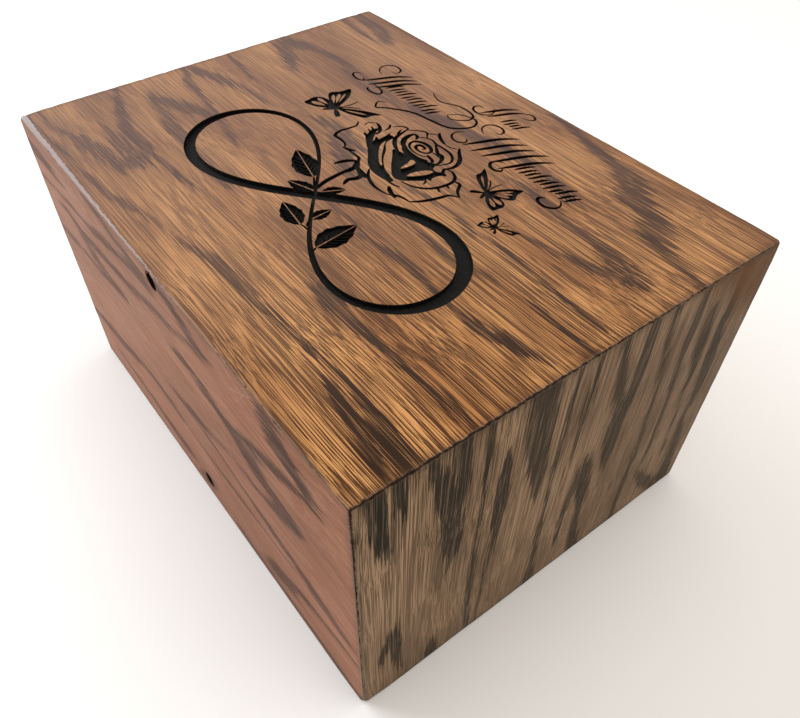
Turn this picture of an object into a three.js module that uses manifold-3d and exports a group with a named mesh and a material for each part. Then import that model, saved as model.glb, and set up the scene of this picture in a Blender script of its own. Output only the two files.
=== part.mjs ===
// Cremation urn box: six mitred oak boards around an empty chamber, a carved top and two screws.
// Millimetres, +Z up. The origin is the middle of the underside, X runs along the box and the
// front, with its two screws, faces -Y.
import * as THREE from 'three';
import { mergeVertices } from 'three/addons/utils/BufferGeometryUtils.js';
import Module from 'manifold-3d';

const wasm = await Module();
wasm.setup();

// Box
const boxLength = 254;
const boxDepth = 190;
const boxHeight = 144;
const boardThickness = 19;
const glueLine = 0.3; // between two mitred faces, measured square to them
const edgeRound = 1.0;
const edgeSteps = 3;

// Screws, both with the same head and shank
const headDiameter = 7.4;
const headRim = 0.5;
const shankDiameter = 3.8;
const screwLength = 32;
const screwPoint = 7;
const headSunk = 1.6; // from the front face down to the head
const screwClearance = 0.3;
const crossWidth = 1.1;
const crossReach = 2.3;
const crossDepth = 1.3;
const upperScrewWeb = 0.5; // wood left between its hole and the top face
const upperScrewSide = 5.8; // to the right of the middle
const lowerScrewInset = 5.0; // from the inner face of the bottom board down to its axis
const lowerScrewSide = 1.5;

// Carving: its drawing stands around the middle of the loop
const loopFromBack = 119.2; // middle of the loop to the back edge
const loopSideShift = 2.1; // and to the right of the middle of the board
const loopCut = 2.0;
const flowerCut = 1.6;
const lineCut = 1.2;
const loopHalfLength = 75.6;
const loopHalfRise = 25;
const loopPinch = 0.2;
const loopBand = 5.4;
const loopStem = 1.4;
const leafRib = 0.5;
const roseUp = 54.3;
const roseSide = -1.56;
const roseHalfWidth = 34.8;
const roseHalfHeight = 23;

const rad = THREE.MathUtils.degToRad;

// Solids

function toSolid(geometry) {
  const bare = geometry.clone();
  bare.deleteAttribute('normal');
  bare.deleteAttribute('uv');
  const merged = mergeVertices(bare, 1e-5);
  return new wasm.Manifold(new wasm.Mesh({
    numProp: 3,
    vertProperties: new Float32Array(merged.attributes.position.array),
    triVerts: new Uint32Array(merged.index.array),
  }));
}

function toGeometry(solid) {
  const mesh = solid.getMesh();
  const geometry = new THREE.BufferGeometry();
  geometry.setAttribute('position', new THREE.BufferAttribute(new Float32Array(mesh.vertProperties), 3));
  geometry.setIndex(new THREE.BufferAttribute(new Uint32Array(mesh.triVerts), 1));
  const flat = geometry.toNonIndexed();
  flat.computeVertexNormals();
  return flat;
}

function union(solids) {
  return wasm.Manifold.union(solids);
}

// A closed stack of rectangles, each given by its half sizes and its level
function stackGeometry(rings) {
  const corners = [[-1, -1], [1, -1], [1, 1], [-1, 1]];
  const position = rings.flatMap(([x, y, z]) => corners.flatMap(([sx, sy]) => [sx * x, sy * y, z]));
  const index = [];
  const last = (rings.length - 1) * 4;
  index.push(0, 2, 1, 0, 3, 2);
  index.push(last, last + 1, last + 2, last, last + 2, last + 3);
  for (let k = 0; k < last; k += 4) {
    for (let i = 0; i < 4; i += 1) {
      const j = (i + 1) % 4;
      index.push(k + i, k + j, k + 4 + j);
      index.push(k + i, k + 4 + j, k + 4 + i);
    }
  }
  const geometry = new THREE.BufferGeometry();
  geometry.setAttribute('position', new THREE.Float32BufferAttribute(position, 3));
  geometry.setIndex(index);
  return geometry;
}

// A board with four mitred edges: its outer face is at z = 0, its inner face below it.
// The arris is round up to the mitre, so two boards make a whole rounded edge between them.
function mitredBoard(sizeX, sizeY) {
  const inset = glueLine / Math.SQRT2;
  const rings = [];
  const ringAt = (down, from) => rings.push([sizeX / 2 - from, sizeY / 2 - from, -down]);
  ringAt(boardThickness, boardThickness + inset);
  for (let i = 0; i <= edgeSteps; i += 1) {
    const angle = rad(45 - (45 * i) / edgeSteps);
    const down = edgeRound * (1 - Math.cos(angle));
    const from = edgeRound * (1 - Math.sin(angle));
    ringAt(down, i === 0 ? down + inset : Math.max(from, down + inset));
  }
  return stackGeometry(rings);
}

// Screws

function screwProfile(extra, openTop) {
  const head = headDiameter / 2 + extra;
  const shank = shankDiameter / 2 + extra;
  const rim = -headRim;
  const neck = rim - (head - shank);
  const tip = -screwLength - extra;
  return [
    new THREE.Vector2(0, openTop),
    new THREE.Vector2(head, openTop),
    new THREE.Vector2(head, rim),
    new THREE.Vector2(shank, neck),
    new THREE.Vector2(shank, tip + screwPoint),
    new THREE.Vector2(0, tip),
  ].reverse();
}

function screwSolid() {
  const body = toSolid(new THREE.LatheGeometry(screwProfile(0, 0), 28));
  const bars = [0, 90].map((turn) => {
    const bar = new THREE.BoxGeometry(2 * crossReach, 2 * crossDepth, crossWidth);
    bar.rotateY(rad(turn + 20));
    return toSolid(bar);
  });
  return body.subtract(union(bars));
}

function screwSpace() {
  return new THREE.LatheGeometry(screwProfile(screwClearance, headSunk + 1), 28);
}

const holeRadius = headDiameter / 2 + screwClearance;
const screws = [
  { name: 'screw_upper', x: upperScrewSide, z: boxHeight - upperScrewWeb - holeRadius },
  { name: 'screw_lower', x: lowerScrewSide, z: boardThickness - lowerScrewInset },
];

// Lines of the drawing

function spline(points, count, closed = false) {
  const total = points.length;
  const spans = closed ? total : total - 1;
  const at = (i) => (closed ? points[(i + total) % total] : points[THREE.MathUtils.clamp(i, 0, total - 1)]);
  const result = [];
  for (let i = 0; i < (closed ? count : count + 1); i += 1) {
    const s = (spans * i) / count;
    const k = Math.min(Math.floor(s), spans - 1);
    const u = s - k;
    const [a, b, c, d] = [at(k - 1), at(k), at(k + 1), at(k + 2)];
    const blend = (j) => 0.5 * (2 * b[j] + (c[j] - a[j]) * u
      + (2 * a[j] - 5 * b[j] + 4 * c[j] - d[j]) * u ** 2 + (3 * b[j] - a[j] - 3 * c[j] + d[j]) * u ** 3);
    result.push([blend(0), blend(1)]);
  }
  return result;
}

function taper(count, wide, tail, lean = 1, power = 0.8) {
  return Array.from({ length: count + 1 }, (_, i) => {
    const swell = i > 0 && i < count ? Math.sin(Math.PI * (i / count) ** lean) ** power : 0;
    return tail + (wide - tail) * swell;
  });
}

function ribbon(points, widths) {
  const left = [];
  const right = [];
  points.forEach(([x, y], i) => {
    const a = points[Math.max(i - 1, 0)];
    const b = points[Math.min(i + 1, points.length - 1)];
    const length = Math.hypot(b[0] - a[0], b[1] - a[1]) || 1;
    const half = widths[i] / 2;
    const nx = (-(b[1] - a[1]) / length) * half;
    const ny = ((b[0] - a[0]) / length) * half;
    left.push([x + nx, y + ny]);
    right.push([x - nx, y - ny]);
  });
  return left.concat(right.reverse());
}

function stroke(points, wide, tail, count, lean = 1, power = 0.8) {
  return ribbon(spline(points, count), taper(count, wide, tail, lean, power));
}

function place(points, x, y, turn, sx = 1, sy = sx) {
  const c = Math.cos(rad(turn));
  const s = Math.sin(rad(turn));
  return points.map(([px, py]) => [x + c * px * sx - s * py * sy, y + s * px * sx + c * py * sy]);
}

// The loop: one band that thins to a stem on its way through the crossing
function loopLines() {
  const point = (deg) => {
    const t = rad(deg);
    return [
      loopHalfLength * Math.cos(t) * (1 - loopPinch * Math.sin(t) ** 2),
      loopHalfRise * Math.sin(2 * t),
    ];
  };
  const swell = 0.6;
  const width = (deg) => {
    const d = (deg + 360) % 360;
    if (d <= 180) return loopBand + swell * Math.cos(rad(d));
    const end = d < 268 ? loopBand - swell : loopBand + swell;
    return loopStem + (end - loopStem) * Math.min(1, Math.abs(d - 268) / 90) ** 1.6;
  };
  const steps = 30;
  return [[-6, 184], [176, 356]].map(([from, to]) => {
    const angles = Array.from({ length: steps + 1 }, (_, i) => from + ((to - from) * i) / steps);
    return ribbon(angles.map(point), angles.map(width));
  });
}

// A leaf is two halves with the midrib left standing between them
function leafLines(x, y, turn, length, width) {
  const steps = 9;
  return [1, -1].map((side) => {
    const outline = [];
    for (let i = 0; i <= steps; i += 1) {
      const s = i / steps;
      let half = i > 0 && i < steps ? 0.5 * width * Math.sin(Math.PI * s ** 0.82) ** 0.85 : 0;
      half *= 1 + 0.05 * Math.sin(9 * Math.PI * s) + (side > 0 ? 0.06 : -0.04);
      outline.push([length * s, side * Math.max(half, leafRib / 2)]);
    }
    for (let i = steps - 1; i > 0; i -= 1) {
      const s = i / steps;
      outline.push([length * s, side * (leafRib / 2) * (1 - 0.6 * s)]);
    }
    return place(outline, x, y, turn);
  });
}

function stemLines() {
  const leaves = [
    [-10.8, 6.65, 166, 22.0, 10.5],
    [-2.28, 1.7, 200, 13.6, 6.6],
    [12.8, -14.4, 172, 16.6, 8.6],
    [27.7, -17.3, 97, 19.4, 11.2],
    [-0.28, 3.5, 62, 9.6, 5.4],
    [12.4, -9.5, 94, 9.6, 5.6],
  ];
  const stalks = [
    [[-3.4, 1.8], [-7.5, 4.7], [-10.8, 6.65]],
    [[12.6, -14.4], [15.0, -13.9], [16.8, -14.2]],
    [[27.7, -17.3], [28.6, -19.3], [29.5, -20.8]],
    [[12.4, -9.5], [13.2, -11.4], [15.0, -13.2]],
  ];
  return leaves.flatMap((leaf) => leafLines(...leaf)).concat(stalks.map((s) => stroke(s, 0.95, 0.6, 4)));
}

// The rose: a coiled heart, rows of petals that hang lower as they widen, and pointed outer petals
function roseLines() {
  const x0 = roseSide;
  const y0 = roseUp;
  const wx = roseHalfWidth / 34.8;
  const wy = roseHalfHeight / 23;
  const cuts = [];
  const coilSteps = 28;
  const coil = [];
  const coilWidths = [];
  for (let i = 0; i <= coilSteps; i += 1) {
    const s = i / coilSteps;
    const a = rad(-40 + 600 * s);
    const r = 0.9 + 6.4 * s;
    coil.push([x0 + r * 1.15 * wx * Math.cos(a), y0 + r * 0.74 * wy * Math.sin(a)]);
    coilWidths.push(0.7 + 1.9 * Math.sin(Math.PI * s) * (0.6 - 0.4 * Math.sin(a)));
  }
  cuts.push(ribbon(coil, coilWidths));
  // middle, radii, first and last angle, width, lean of the swell, wave
  const rows = [
    [-0.4, -1.0, 11.0, 8.6, 112, 232, 3.0, 0.9, 0.02],
    [1.6, -0.4, 11.2, 9.2, 100, -40, 2.2, 1.6, 0.04],
    [4.6, -9.6, 9.0, 13.2, 172, 268, 6.0, 0.8, 0.02],
    [1.6, -9.4, 8.6, 12.8, 14, -84, 4.8, 1.2, 0.03],
    [-0.5, -6.2, 16.8, 14.6, 132, 258, 5.6, 0.75, 0.03],
    [3.0, -7.0, 14.8, 15.2, 52, -86, 3.8, 1.5, 0.04],
    [2.4, -7.4, 22.6, 17.8, 46, -66, 3.2, 1.35, 0.03],
    [-2.4, -8.4, 22.4, 15.4, 150, 248, 3.2, 0.9, 0.04],
  ];
  const rowSteps = 11;
  rows.forEach(([dx, dy, rx, ry, from, to, wide, lean, wave]) => {
    const line = Array.from({ length: rowSteps + 1 }, (_, i) => {
      const s = i / rowSteps;
      const a = rad(from + (to - from) * s);
      const k = 1 + wave * Math.sin(3 * Math.PI * s) + 0.06 * (2 * s - 1) ** 4;
      return [x0 + (dx + rx * k * Math.cos(a)) * wx, y0 + (dy + ry * k * Math.sin(a)) * wy];
    });
    cuts.push(ribbon(line, taper(rowSteps, wide, 0.4, lean)));
  });
  // short strokes of shade: middle, radii, first and last angle, length, turn
  const shades = [
    [-2.4, -8.4, 22.6, 15.4, 158, 200, 5.0, 20],
    [2.4, -7.4, 22.6, 17.4, 12, -34, 4.2, -20],
    [3.0, -7.0, 14.8, 15.2, 34, -20, 4.0, 40],
  ];
  shades.forEach(([dx, dy, rx, ry, from, to, length, turn]) => {
    for (let i = 0; i < 5; i += 1) {
      const s = i / 4;
      const a = rad(from + (to - from) * s);
      const x = x0 + (dx + rx * Math.cos(a)) * wx;
      const y = y0 + (dy + ry * Math.sin(a)) * wy;
      const reach = length * (0.65 + 0.35 * Math.sin(9 * s + 1));
      const d = a + rad(turn);
      const middle = [x + 0.55 * reach * Math.cos(d), y + 0.55 * reach * Math.sin(d)];
      const end = [x + reach * Math.cos(d + 0.25), y + reach * Math.sin(d + 0.25)];
      cuts.push(stroke([[x, y], middle, end], 1.1, 0.3, 2, 0.7));
    }
  });
  // outer petals between these angles, each with the place of its point and its root
  const edges = [-24, 30, 70, 112, 156, 206, 266, 336];
  const peaks = [0.62, 0.6, 0.4, 0.36, 0.55, 0.42, 0.64];
  const roots = [0.66, 0.72, 0.74, 0.66, 0.64, 0.7, 0.7];
  const rimSteps = 12;
  peaks.forEach((peak, j) => {
    const from = edges[j] + 1;
    const to = edges[j + 1] + 5;
    const rim = Array.from({ length: rimSteps + 1 }, (_, i) => {
      const s = i / rimSteps;
      const a = rad(from + (to - from) * (0.5 - 0.5 * Math.cos(Math.PI * s)) ** 0.9);
      const arch = Math.max(0, Math.sin(Math.PI * s)) ** 0.5;
      const point = Math.max(0, 1 - Math.abs(s - peak) / 0.3) ** 1.3;
      const k = roots[j] + (0.93 - roots[j]) * arch + 0.075 * point;
      return [x0 + (1.4 + 34.8 * k * Math.cos(a)) * wx, y0 + (-10.4 + 23 * k * Math.sin(a)) * wy];
    });
    cuts.push(ribbon(rim, taper(rimSteps, 2.1, 0.4, 1.15, 0.7)));
  });
  // sepals and the stem down to the crossing
  const foot = [-5.72, 25.28];
  [[-3.5, 2.0, -6.5, -9.0, 2.6], [3.5, 2.2, 6.0, -9.5, 2.8], [0.4, 1.6, -0.6, -8.2, 2.4]].forEach(([dx, dy, sx, sy, wide]) => {
    const line = [
      [foot[0] + dx, foot[1] + dy],
      [foot[0] + (dx + sx) * 0.55, foot[1] - 3],
      [foot[0] + sx, foot[1] + sy],
    ];
    cuts.push(stroke(line, wide, 0.4, 8, 0.8));
  });
  cuts.push(stroke([[foot[0], foot[1] - 1.5], [-4.63, 13.5], [-1.0, 1.7]], 1.7, 1.0, 8));
  return cuts;
}

// A wing is an outline with light cells left standing inside it
function wing(hind, size, flat) {
  const rim = hind
    ? [[0, 0.04], [0.38, 0.17], [0.82, 0.1], [0.96, -0.14], [0.7, -0.38], [0.3, -0.24]]
    : [[0, 0.02], [0.42, 0.16], [0.84, 0.16], [1, 0.04], [0.88, -0.14], [0.72, -0.34], [0.32, -0.22]];
  let cells = hind
    ? [[-3, 0.3, 0.86, 0.075], [-21, 0.32, 0.74, 0.07]]
    : [[3, 0.26, 0.8, 0.05], [-10, 0.24, 0.78, 0.06], [-23, 0.28, 0.7, 0.045]];
  if (flat < 0.7) cells = hind ? [] : [cells[1]];
  const steps = 3;
  const leaves = cells.map(([turn, from, to, wide]) => {
    const upper = [];
    for (let i = 0; i <= steps; i += 1) {
      const s = i / steps;
      upper.push([from + (to - from) * s, i > 0 && i < steps ? wide * Math.sin(Math.PI * s ** 1.5) ** 0.7 : 0]);
    }
    const lower = upper.slice(1, steps).reverse().map(([px, py]) => [px, -py]);
    return place(upper.concat(lower), 0, 0, turn);
  });
  const scaled = (points) => points.map(([px, py]) => [px * size, py * size * flat]);
  return { outline: scaled(spline(rim, 14, true)), cells: leaves.map(scaled) };
}

// near is +1 when the open pair of wings is on the left of the body
function butterflyLines(x, y, size, head, near, squeeze, fore, hind) {
  const cuts = [];
  const pairs = [[near, 1.1, fore[0], hind[0], 0.78], [-near, squeeze, fore[1], hind[1], 0.46]];
  pairs.forEach(([side, flat, foreTurn, hindTurn, hindSize]) => {
    [[false, foreTurn, 1], [true, hindTurn, hindSize]].forEach(([isHind, turn, length]) => {
      const shape = wing(isHind, size * length, flat);
      const put = (points) => {
        const turned = place(points, 0, 0, turn).map(([px, py]) => [px, side * py]);
        return place(turned, x, y, head);
      };
      cuts.push({ outline: put(shape.outline), cells: shape.cells.map(put) });
    });
  });
  const body = ribbon(spline([[-0.32, 0], [0, 0], [0.22, 0]], 6), taper(6, 0.15, 0.03));
  cuts.push({ outline: place(body, x, y, head, size), cells: [] });
  [1, -1].forEach((s) => {
    const feeler = stroke([[0.2, 0.02 * s], [0.42, 0.07 * s], [0.64, 0.19 * s]], 0.05, 0.035, 3);
    cuts.push({ outline: place(feeler, x, y, head, size), cells: [] });
  });
  return cuts;
}

// The inscription's place: rows of leaning strokes, with open coils and a flourish
function inscriptionLines() {
  const cuts = [];
  // left end, foot, count, pitch, height, lean, width, unevenness
  const rows = [
    [-7.54, 93.13, 2, 4.2, 15.5, 24, 2.0, 0],
    [2.62, 94.58, 4, 2.5, 6.4, 20, 1.5, 0.25],
    [-62.7, 69.18, 3, 4.4, 20.5, 24, 2.1, 0.06],
    [-51.81, 73.18, 11, 2.9, 7.4, 20, 1.6, 0.22],
    [8.42, 69.18, 5, 5.6, 22.0, 22, 2.2, 0.06],
    [33.82, 73.54, 11, 2.75, 7.6, 20, 1.7, 0.22],
  ];
  rows.forEach(([x, y, count, pitch, height, lean, wide, uneven]) => {
    for (let i = 0; i < count; i += 1) {
      const h = height * (1 + uneven * Math.sin(2.4 * i + 0.6));
      const dx = h * Math.tan(rad(lean));
      const px = x + pitch * i;
      const py = y + 0.35 * uneven * h * Math.sin(4.1 * i);
      const line = [[px - dx * 0.25, py], [px + dx * 0.05, py + h * 0.3], [px + dx * 0.45, py + h * 0.7], [px + dx, py + h]];
      cuts.push(stroke(line, wide, 0.35, 4, 1, 0.9));
    }
  });
  // middle, inner and outer radius, first angle, sweep, width, squash
  const coils = [
    [-11.53, 95.67, 2.0, 7.0, 90, 330, 1.2, 0.75],
    [5.88, 108.01, 1.2, 5.2, 200, -300, 1.1, 0.6],
    [-64.51, 86.6, 2.2, 8.0, 300, 330, 1.1, 0.8],
    [-68.14, 70.27, 1.6, 7.0, 60, -310, 1.2, 0.45],
    [-55.8, 67.73, 2.0, 8.5, 180, 300, 1.3, 0.45],
    [6.61, 88.05, 2.0, 7.6, 300, 320, 1.2, 0.75],
    [2.62, 72.45, 1.8, 6.6, 60, -300, 1.2, 0.8],
    [28.74, 69.55, 1.2, 6.4, 30, -290, 1.6, 0.7],
    [55.96, 68.46, 1.6, 7.2, 120, 300, 1.6, 0.7],
  ];
  const coilSteps = 11;
  coils.forEach(([x, y, r0, r1, from, sweep, wide, squash]) => {
    const line = Array.from({ length: coilSteps + 1 }, (_, i) => {
      const s = i / coilSteps;
      const r = r0 + (r1 - r0) * s;
      const a = rad(from + sweep * s);
      return [x + r * Math.cos(a), y + r * squash * Math.sin(a)];
    });
    cuts.push(ribbon(line, taper(coilSteps, wide, 0.4)));
  });
  const flourish = [
    [[-35.8, 87.9], [-27.9, 85.5], [-18.8, 89.5], [-9.7, 89.1], [-7.5, 84.8], [-12.4, 79.3], [-16.6, 80.1]],
    [[-16.6, 80.1], [-13.4, 84.8], [-5.7, 87.3], [-2.1, 82.3], [-7.0, 74.3], [-17.9, 71.4], [-27.9, 69.2],
      [-37.3, 63.0], [-40.9, 59.4], [-44.5, 63.0], [-41.6, 65.9]],
  ];
  flourish.forEach((line, i) => cuts.push(stroke(line, 1.2 + 0.3 * i, 0.4, 3 * (line.length - 1))));
  return cuts;
}

// The carving, as one solid to take out of the top board
function carvingSolid() {
  const open = edgeRound + 1;
  const cut = (line, down) => {
    const drawn = new THREE.Shape(line.map(([x, y]) => new THREE.Vector2(x, y)));
    const solid = new THREE.ExtrudeGeometry(drawn, { depth: down + open, bevelEnabled: false });
    solid.translate(loopSideShift, boxDepth / 2 - loopFromBack, -down);
    return toSolid(solid);
  };
  // cells are left standing in a wing
  const cutWing = ({ outline, cells }, down) => {
    const whole = cut(outline, down);
    return cells.length ? whole.subtract(union(cells.map((cell) => cut(cell, down + 1)))) : whole;
  };
  const butterflies = [
    [-51.45, 44.14, 20.5, 65, 1, 0.45, [52, 33], [138, 100]],
    [38.54, 53.58, 15.6, 110, -1, 0.45, [54, 34], [138, 128]],
    [57.41, 40.88, 9.2, 80, 1, 0.5, [48, 46], [135, 138]],
  ];
  return union([
    ...loopLines().map((line) => cut(line, loopCut)),
    ...stemLines().map((line) => cut(line, flowerCut)),
    ...roseLines().map((line) => cut(line, flowerCut)),
    ...butterflies.flatMap((b) => butterflyLines(...b)).map((line) => cutWing(line, lineCut)),
    ...inscriptionLines().map((line) => cut(line, lineCut)),
  ]);
}

// The box

const urn = new THREE.Group();

function wood(color, roughness) {
  return new THREE.MeshStandardMaterial({ color, roughness, metalness: 0 });
}

function addBoard(name, size, position, rotation, material) {
  const mesh = new THREE.Mesh(mitredBoard(...size), material);
  mesh.name = name;
  mesh.position.set(...position);
  mesh.rotation.set(...rotation);
  mesh.updateMatrixWorld(true);
  urn.add(mesh);
  return mesh;
}

const middle = boxHeight / 2;
const quarter = Math.PI / 2;
const top = addBoard('top_panel', [boxLength, boxDepth], [0, 0, boxHeight], [0, 0, 0], wood(0xb07f4f, 0.45));
const bottom = addBoard('bottom_panel', [boxLength, boxDepth], [0, 0, 0], [Math.PI, 0, 0], wood(0xa87c54, 0.6));
const front = addBoard('front_panel', [boxLength, boxHeight], [0, -boxDepth / 2, middle], [quarter, 0, 0], wood(0xb2826c, 0.5));
addBoard('back_panel', [boxLength, boxHeight], [0, boxDepth / 2, middle], [-quarter, 0, 0], wood(0xad7f5c, 0.5));
addBoard('right_end', [boxHeight, boxDepth], [boxLength / 2, 0, middle], [0, quarter, 0], wood(0x786450, 0.55));
addBoard('left_end', [boxHeight, boxDepth], [-boxLength / 2, 0, middle], [0, -quarter, 0], wood(0x786450, 0.55));

// Screws stand in the front board and run on into the top and bottom boards
const brass = new THREE.MeshStandardMaterial({ color: 0xb8a67c, roughness: 0.45, metalness: 0.8 });
const spaces = screws.map(({ name, x, z }) => {
  const mesh = new THREE.Mesh(toGeometry(screwSolid()), brass.clone());
  mesh.name = name;
  mesh.position.set(x, -boxDepth / 2 + headSunk, z);
  mesh.rotation.set(Math.PI, 0, 0);
  mesh.updateMatrixWorld(true);
  urn.add(mesh);
  return screwSpace().applyMatrix4(mesh.matrixWorld);
});

// Cuts are made in each board's own frame
function cutBoard(mesh, tools, more = []) {
  const inverse = mesh.matrixWorld.clone().invert();
  const local = tools.map((tool) => toSolid(tool.clone().applyMatrix4(inverse)));
  mesh.geometry = toGeometry(toSolid(mesh.geometry).subtract(union([...local, ...more])));
}

cutBoard(front, spaces);
cutBoard(top, [spaces[0]], [carvingSolid()]);
cutBoard(bottom, [spaces[1]]);

export default urn;
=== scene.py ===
"""A closed oak urn box with a carved top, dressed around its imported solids.

Millimetres are used throughout and turned into metres where a mesh, a lamp or a shader needs
them. The box stands on the floor with its middle at the origin, X runs along it, the screwed
front faces -Y and +Z is up.
"""

import logging
import math
from dataclasses import dataclass, field
from enum import Enum
from typing import Sequence

import bmesh
import bpy
import numpy as np
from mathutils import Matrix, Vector
from mathutils.geometry import delaunay_2d_cdt


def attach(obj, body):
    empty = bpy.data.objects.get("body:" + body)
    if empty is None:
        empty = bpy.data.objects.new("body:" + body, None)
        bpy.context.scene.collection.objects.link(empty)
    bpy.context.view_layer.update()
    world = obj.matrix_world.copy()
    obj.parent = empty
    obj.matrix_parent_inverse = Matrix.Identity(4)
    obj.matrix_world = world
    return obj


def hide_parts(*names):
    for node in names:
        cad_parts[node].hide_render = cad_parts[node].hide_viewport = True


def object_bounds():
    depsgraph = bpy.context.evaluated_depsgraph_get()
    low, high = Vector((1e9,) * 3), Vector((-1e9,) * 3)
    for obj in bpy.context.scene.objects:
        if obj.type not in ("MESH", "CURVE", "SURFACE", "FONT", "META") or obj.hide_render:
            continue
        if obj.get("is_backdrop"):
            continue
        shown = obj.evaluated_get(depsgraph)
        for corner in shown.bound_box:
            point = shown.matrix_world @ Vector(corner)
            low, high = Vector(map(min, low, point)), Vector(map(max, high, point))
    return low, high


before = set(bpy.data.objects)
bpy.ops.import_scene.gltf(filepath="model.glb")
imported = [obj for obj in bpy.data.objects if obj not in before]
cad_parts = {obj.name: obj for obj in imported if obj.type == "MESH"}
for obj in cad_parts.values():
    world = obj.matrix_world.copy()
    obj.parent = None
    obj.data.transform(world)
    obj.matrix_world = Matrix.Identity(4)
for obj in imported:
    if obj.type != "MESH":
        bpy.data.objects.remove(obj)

log = logging.getLogger("urn")

MM = 0.001
FAR = 99.0  # millimetres, stands for no line nearby
NO_HIGHLIGHT = (-9.0, -9.0)  # an edge without a painted highlight strip

Line = np.ndarray
Colour = tuple[float, float, float]


def hang(name: str, data: bpy.types.ID) -> bpy.types.Object:
    """Puts a new object into the scene.

    Args:
        name: Its name.
        data: Its mesh, lamp or camera.

    Returns:
        The object.
    """
    made = bpy.data.objects.new(name, data)
    bpy.context.scene.collection.objects.link(made)
    return made


# Sizes


@dataclass(frozen=True)
class BoxSizes:
    """The closed box, in millimetres.

    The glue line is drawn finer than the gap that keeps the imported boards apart.
    """

    length: float
    depth: float
    height: float
    board: float = 19.0
    glue_line: float = 0.08
    arris: float = 1.0

    @classmethod
    def from_frame(cls) -> "BoxSizes":
        """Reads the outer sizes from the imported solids.

        Returns:
            The sizes of the box.
        """
        low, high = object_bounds()
        spans = [round((high[i] - low[i]) / MM, 3) for i in range(3)]
        return cls(*spans)

    @property
    def half(self) -> np.ndarray:
        """Half of each outer size."""
        return np.array([self.length, self.depth, self.height]) / 2

    @property
    def middle(self) -> np.ndarray:
        """Middle of the box."""
        return np.array([0.0, 0.0, self.height / 2])

    @property
    def setback(self) -> float:
        """How far a board stops short of the mitre, along its face."""
        return self.glue_line / math.sqrt(2)


@dataclass(frozen=True)
class ScrewSizes:
    """The screw spaces, in millimetres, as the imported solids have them."""

    head: float = 4.0
    rim: float = 0.5
    shank: float = 2.2
    length: float = 32.3
    point: float = 7.0
    sunk: float = 1.6
    sides: int = 48


@dataclass(frozen=True)
class CarvingSizes:
    """The carving, in millimetres. Its drawing stands around the middle of the loop."""

    from_back: float = 119.2
    side_shift: float = 2.1
    loop_cut: float = 2.0
    flower_cut: float = 1.6
    line_cut: float = 1.2
    half_length: float = 75.6
    half_rise: float = 25.0
    pinch: float = 0.2
    band: float = 5.4
    stem: float = 1.4
    rib: float = 0.5


# Lines of the drawing


def spline(points: Sequence[Sequence[float]], count: int, closed: bool = False) -> Line:
    """Runs a smooth line through points.

    Args:
        points: The points, any number of values each.
        count: Number of steps along the line.
        closed: Whether the line comes back to its start.

    Returns:
        The line's points, one row each.
    """
    knots = np.asarray(points, float)
    total = len(knots)
    spans = total if closed else total - 1
    s = spans * np.arange(count if closed else count + 1) / count
    k = np.minimum(s.astype(int), spans - 1)
    u = (s - k)[:, None]

    def at(i: np.ndarray) -> np.ndarray:
        """The knots with these numbers."""
        return knots[i % total] if closed else knots[np.clip(i, 0, total - 1)]

    a, b, c, d = at(k - 1), at(k), at(k + 1), at(k + 2)
    return 0.5 * (
        2 * b
        + (c - a) * u
        + (2 * a - 5 * b + 4 * c - d) * u**2
        + (3 * b - a - 3 * c + d) * u**3
    )


def taper(count: int, wide: float, tail: float, lean: float = 1.0, power: float = 0.8) -> Line:
    """Widths of a stroke that swells from a thin start and thins again.

    Args:
        count: Number of steps along the stroke.
        wide: Greatest width.
        tail: Width at both ends.
        lean: Moves the swell, 1 for the middle.
        power: Below 1 for a fuller swell.

    Returns:
        One width for each point.
    """
    s = np.arange(count + 1) / count
    swell = np.clip(np.sin(np.pi * s**lean), 0, 1) ** power
    swell[[0, -1]] = 0
    return tail + (wide - tail) * swell


def ribbon(points: Line, widths: Line) -> Line:
    """Outlines a line that has a width at each of its points.

    Args:
        points: The line.
        widths: The width at each point.

    Returns:
        The closed outline.
    """
    ahead = np.vstack([points[1:], points[-1:]])
    behind = np.vstack([points[:1], points[:-1]])
    run = ahead - behind
    run /= np.maximum(np.hypot(run[:, 0], run[:, 1]), 1e-9)[:, None]
    side = np.stack([-run[:, 1], run[:, 0]], 1) * (np.asarray(widths) / 2)[:, None]
    return np.vstack([points + side, (points - side)[::-1]])


def stroke(
    points: Sequence[Sequence[float]],
    wide: float,
    tail: float,
    count: int,
    lean: float = 1.0,
    power: float = 0.8,
) -> Line:
    """Outlines one tapering stroke of the cutter.

    Args:
        points: Points that the stroke runs through.
        wide: Greatest width.
        tail: Width at both ends.
        count: Number of steps.
        lean: Moves the swell.
        power: Below 1 for a fuller swell.

    Returns:
        The closed outline.
    """
    return ribbon(spline(points, count), taper(count, wide, tail, lean, power))


def place(points: Line, x: float, y: float, turn: float, scale: float = 1.0) -> Line:
    """Scales and turns a drawing about its origin, then moves it.

    Args:
        points: The drawing.
        x: Where its origin goes, across.
        y: Where its origin goes, up.
        turn: Degrees, anticlockwise.
        scale: Scale.

    Returns:
        The moved points.
    """
    c, s = math.cos(math.radians(turn)), math.sin(math.radians(turn))
    return np.asarray(points) @ np.array([[c, s], [-s, c]]) * scale + [x, y]


def around(x: float, y: float, rx: Line, ry: Line, degrees: Line) -> Line:
    """Points around a middle.

    Args:
        x: Middle, across.
        y: Middle, up.
        rx: Reach across, one value or one for each angle.
        ry: Reach up, one value or one for each angle.
        degrees: The angles.

    Returns:
        The points.
    """
    a = np.radians(degrees)
    return np.stack([x + rx * np.cos(a), y + ry * np.sin(a)], 1)


@dataclass
class Cut:
    """One closed outline of the carving, with parts left standing and ribs that half rise in it."""

    outline: Line
    down: float
    standing: list[Line] = field(default_factory=list)
    ribs: list[Line] = field(default_factory=list)


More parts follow.
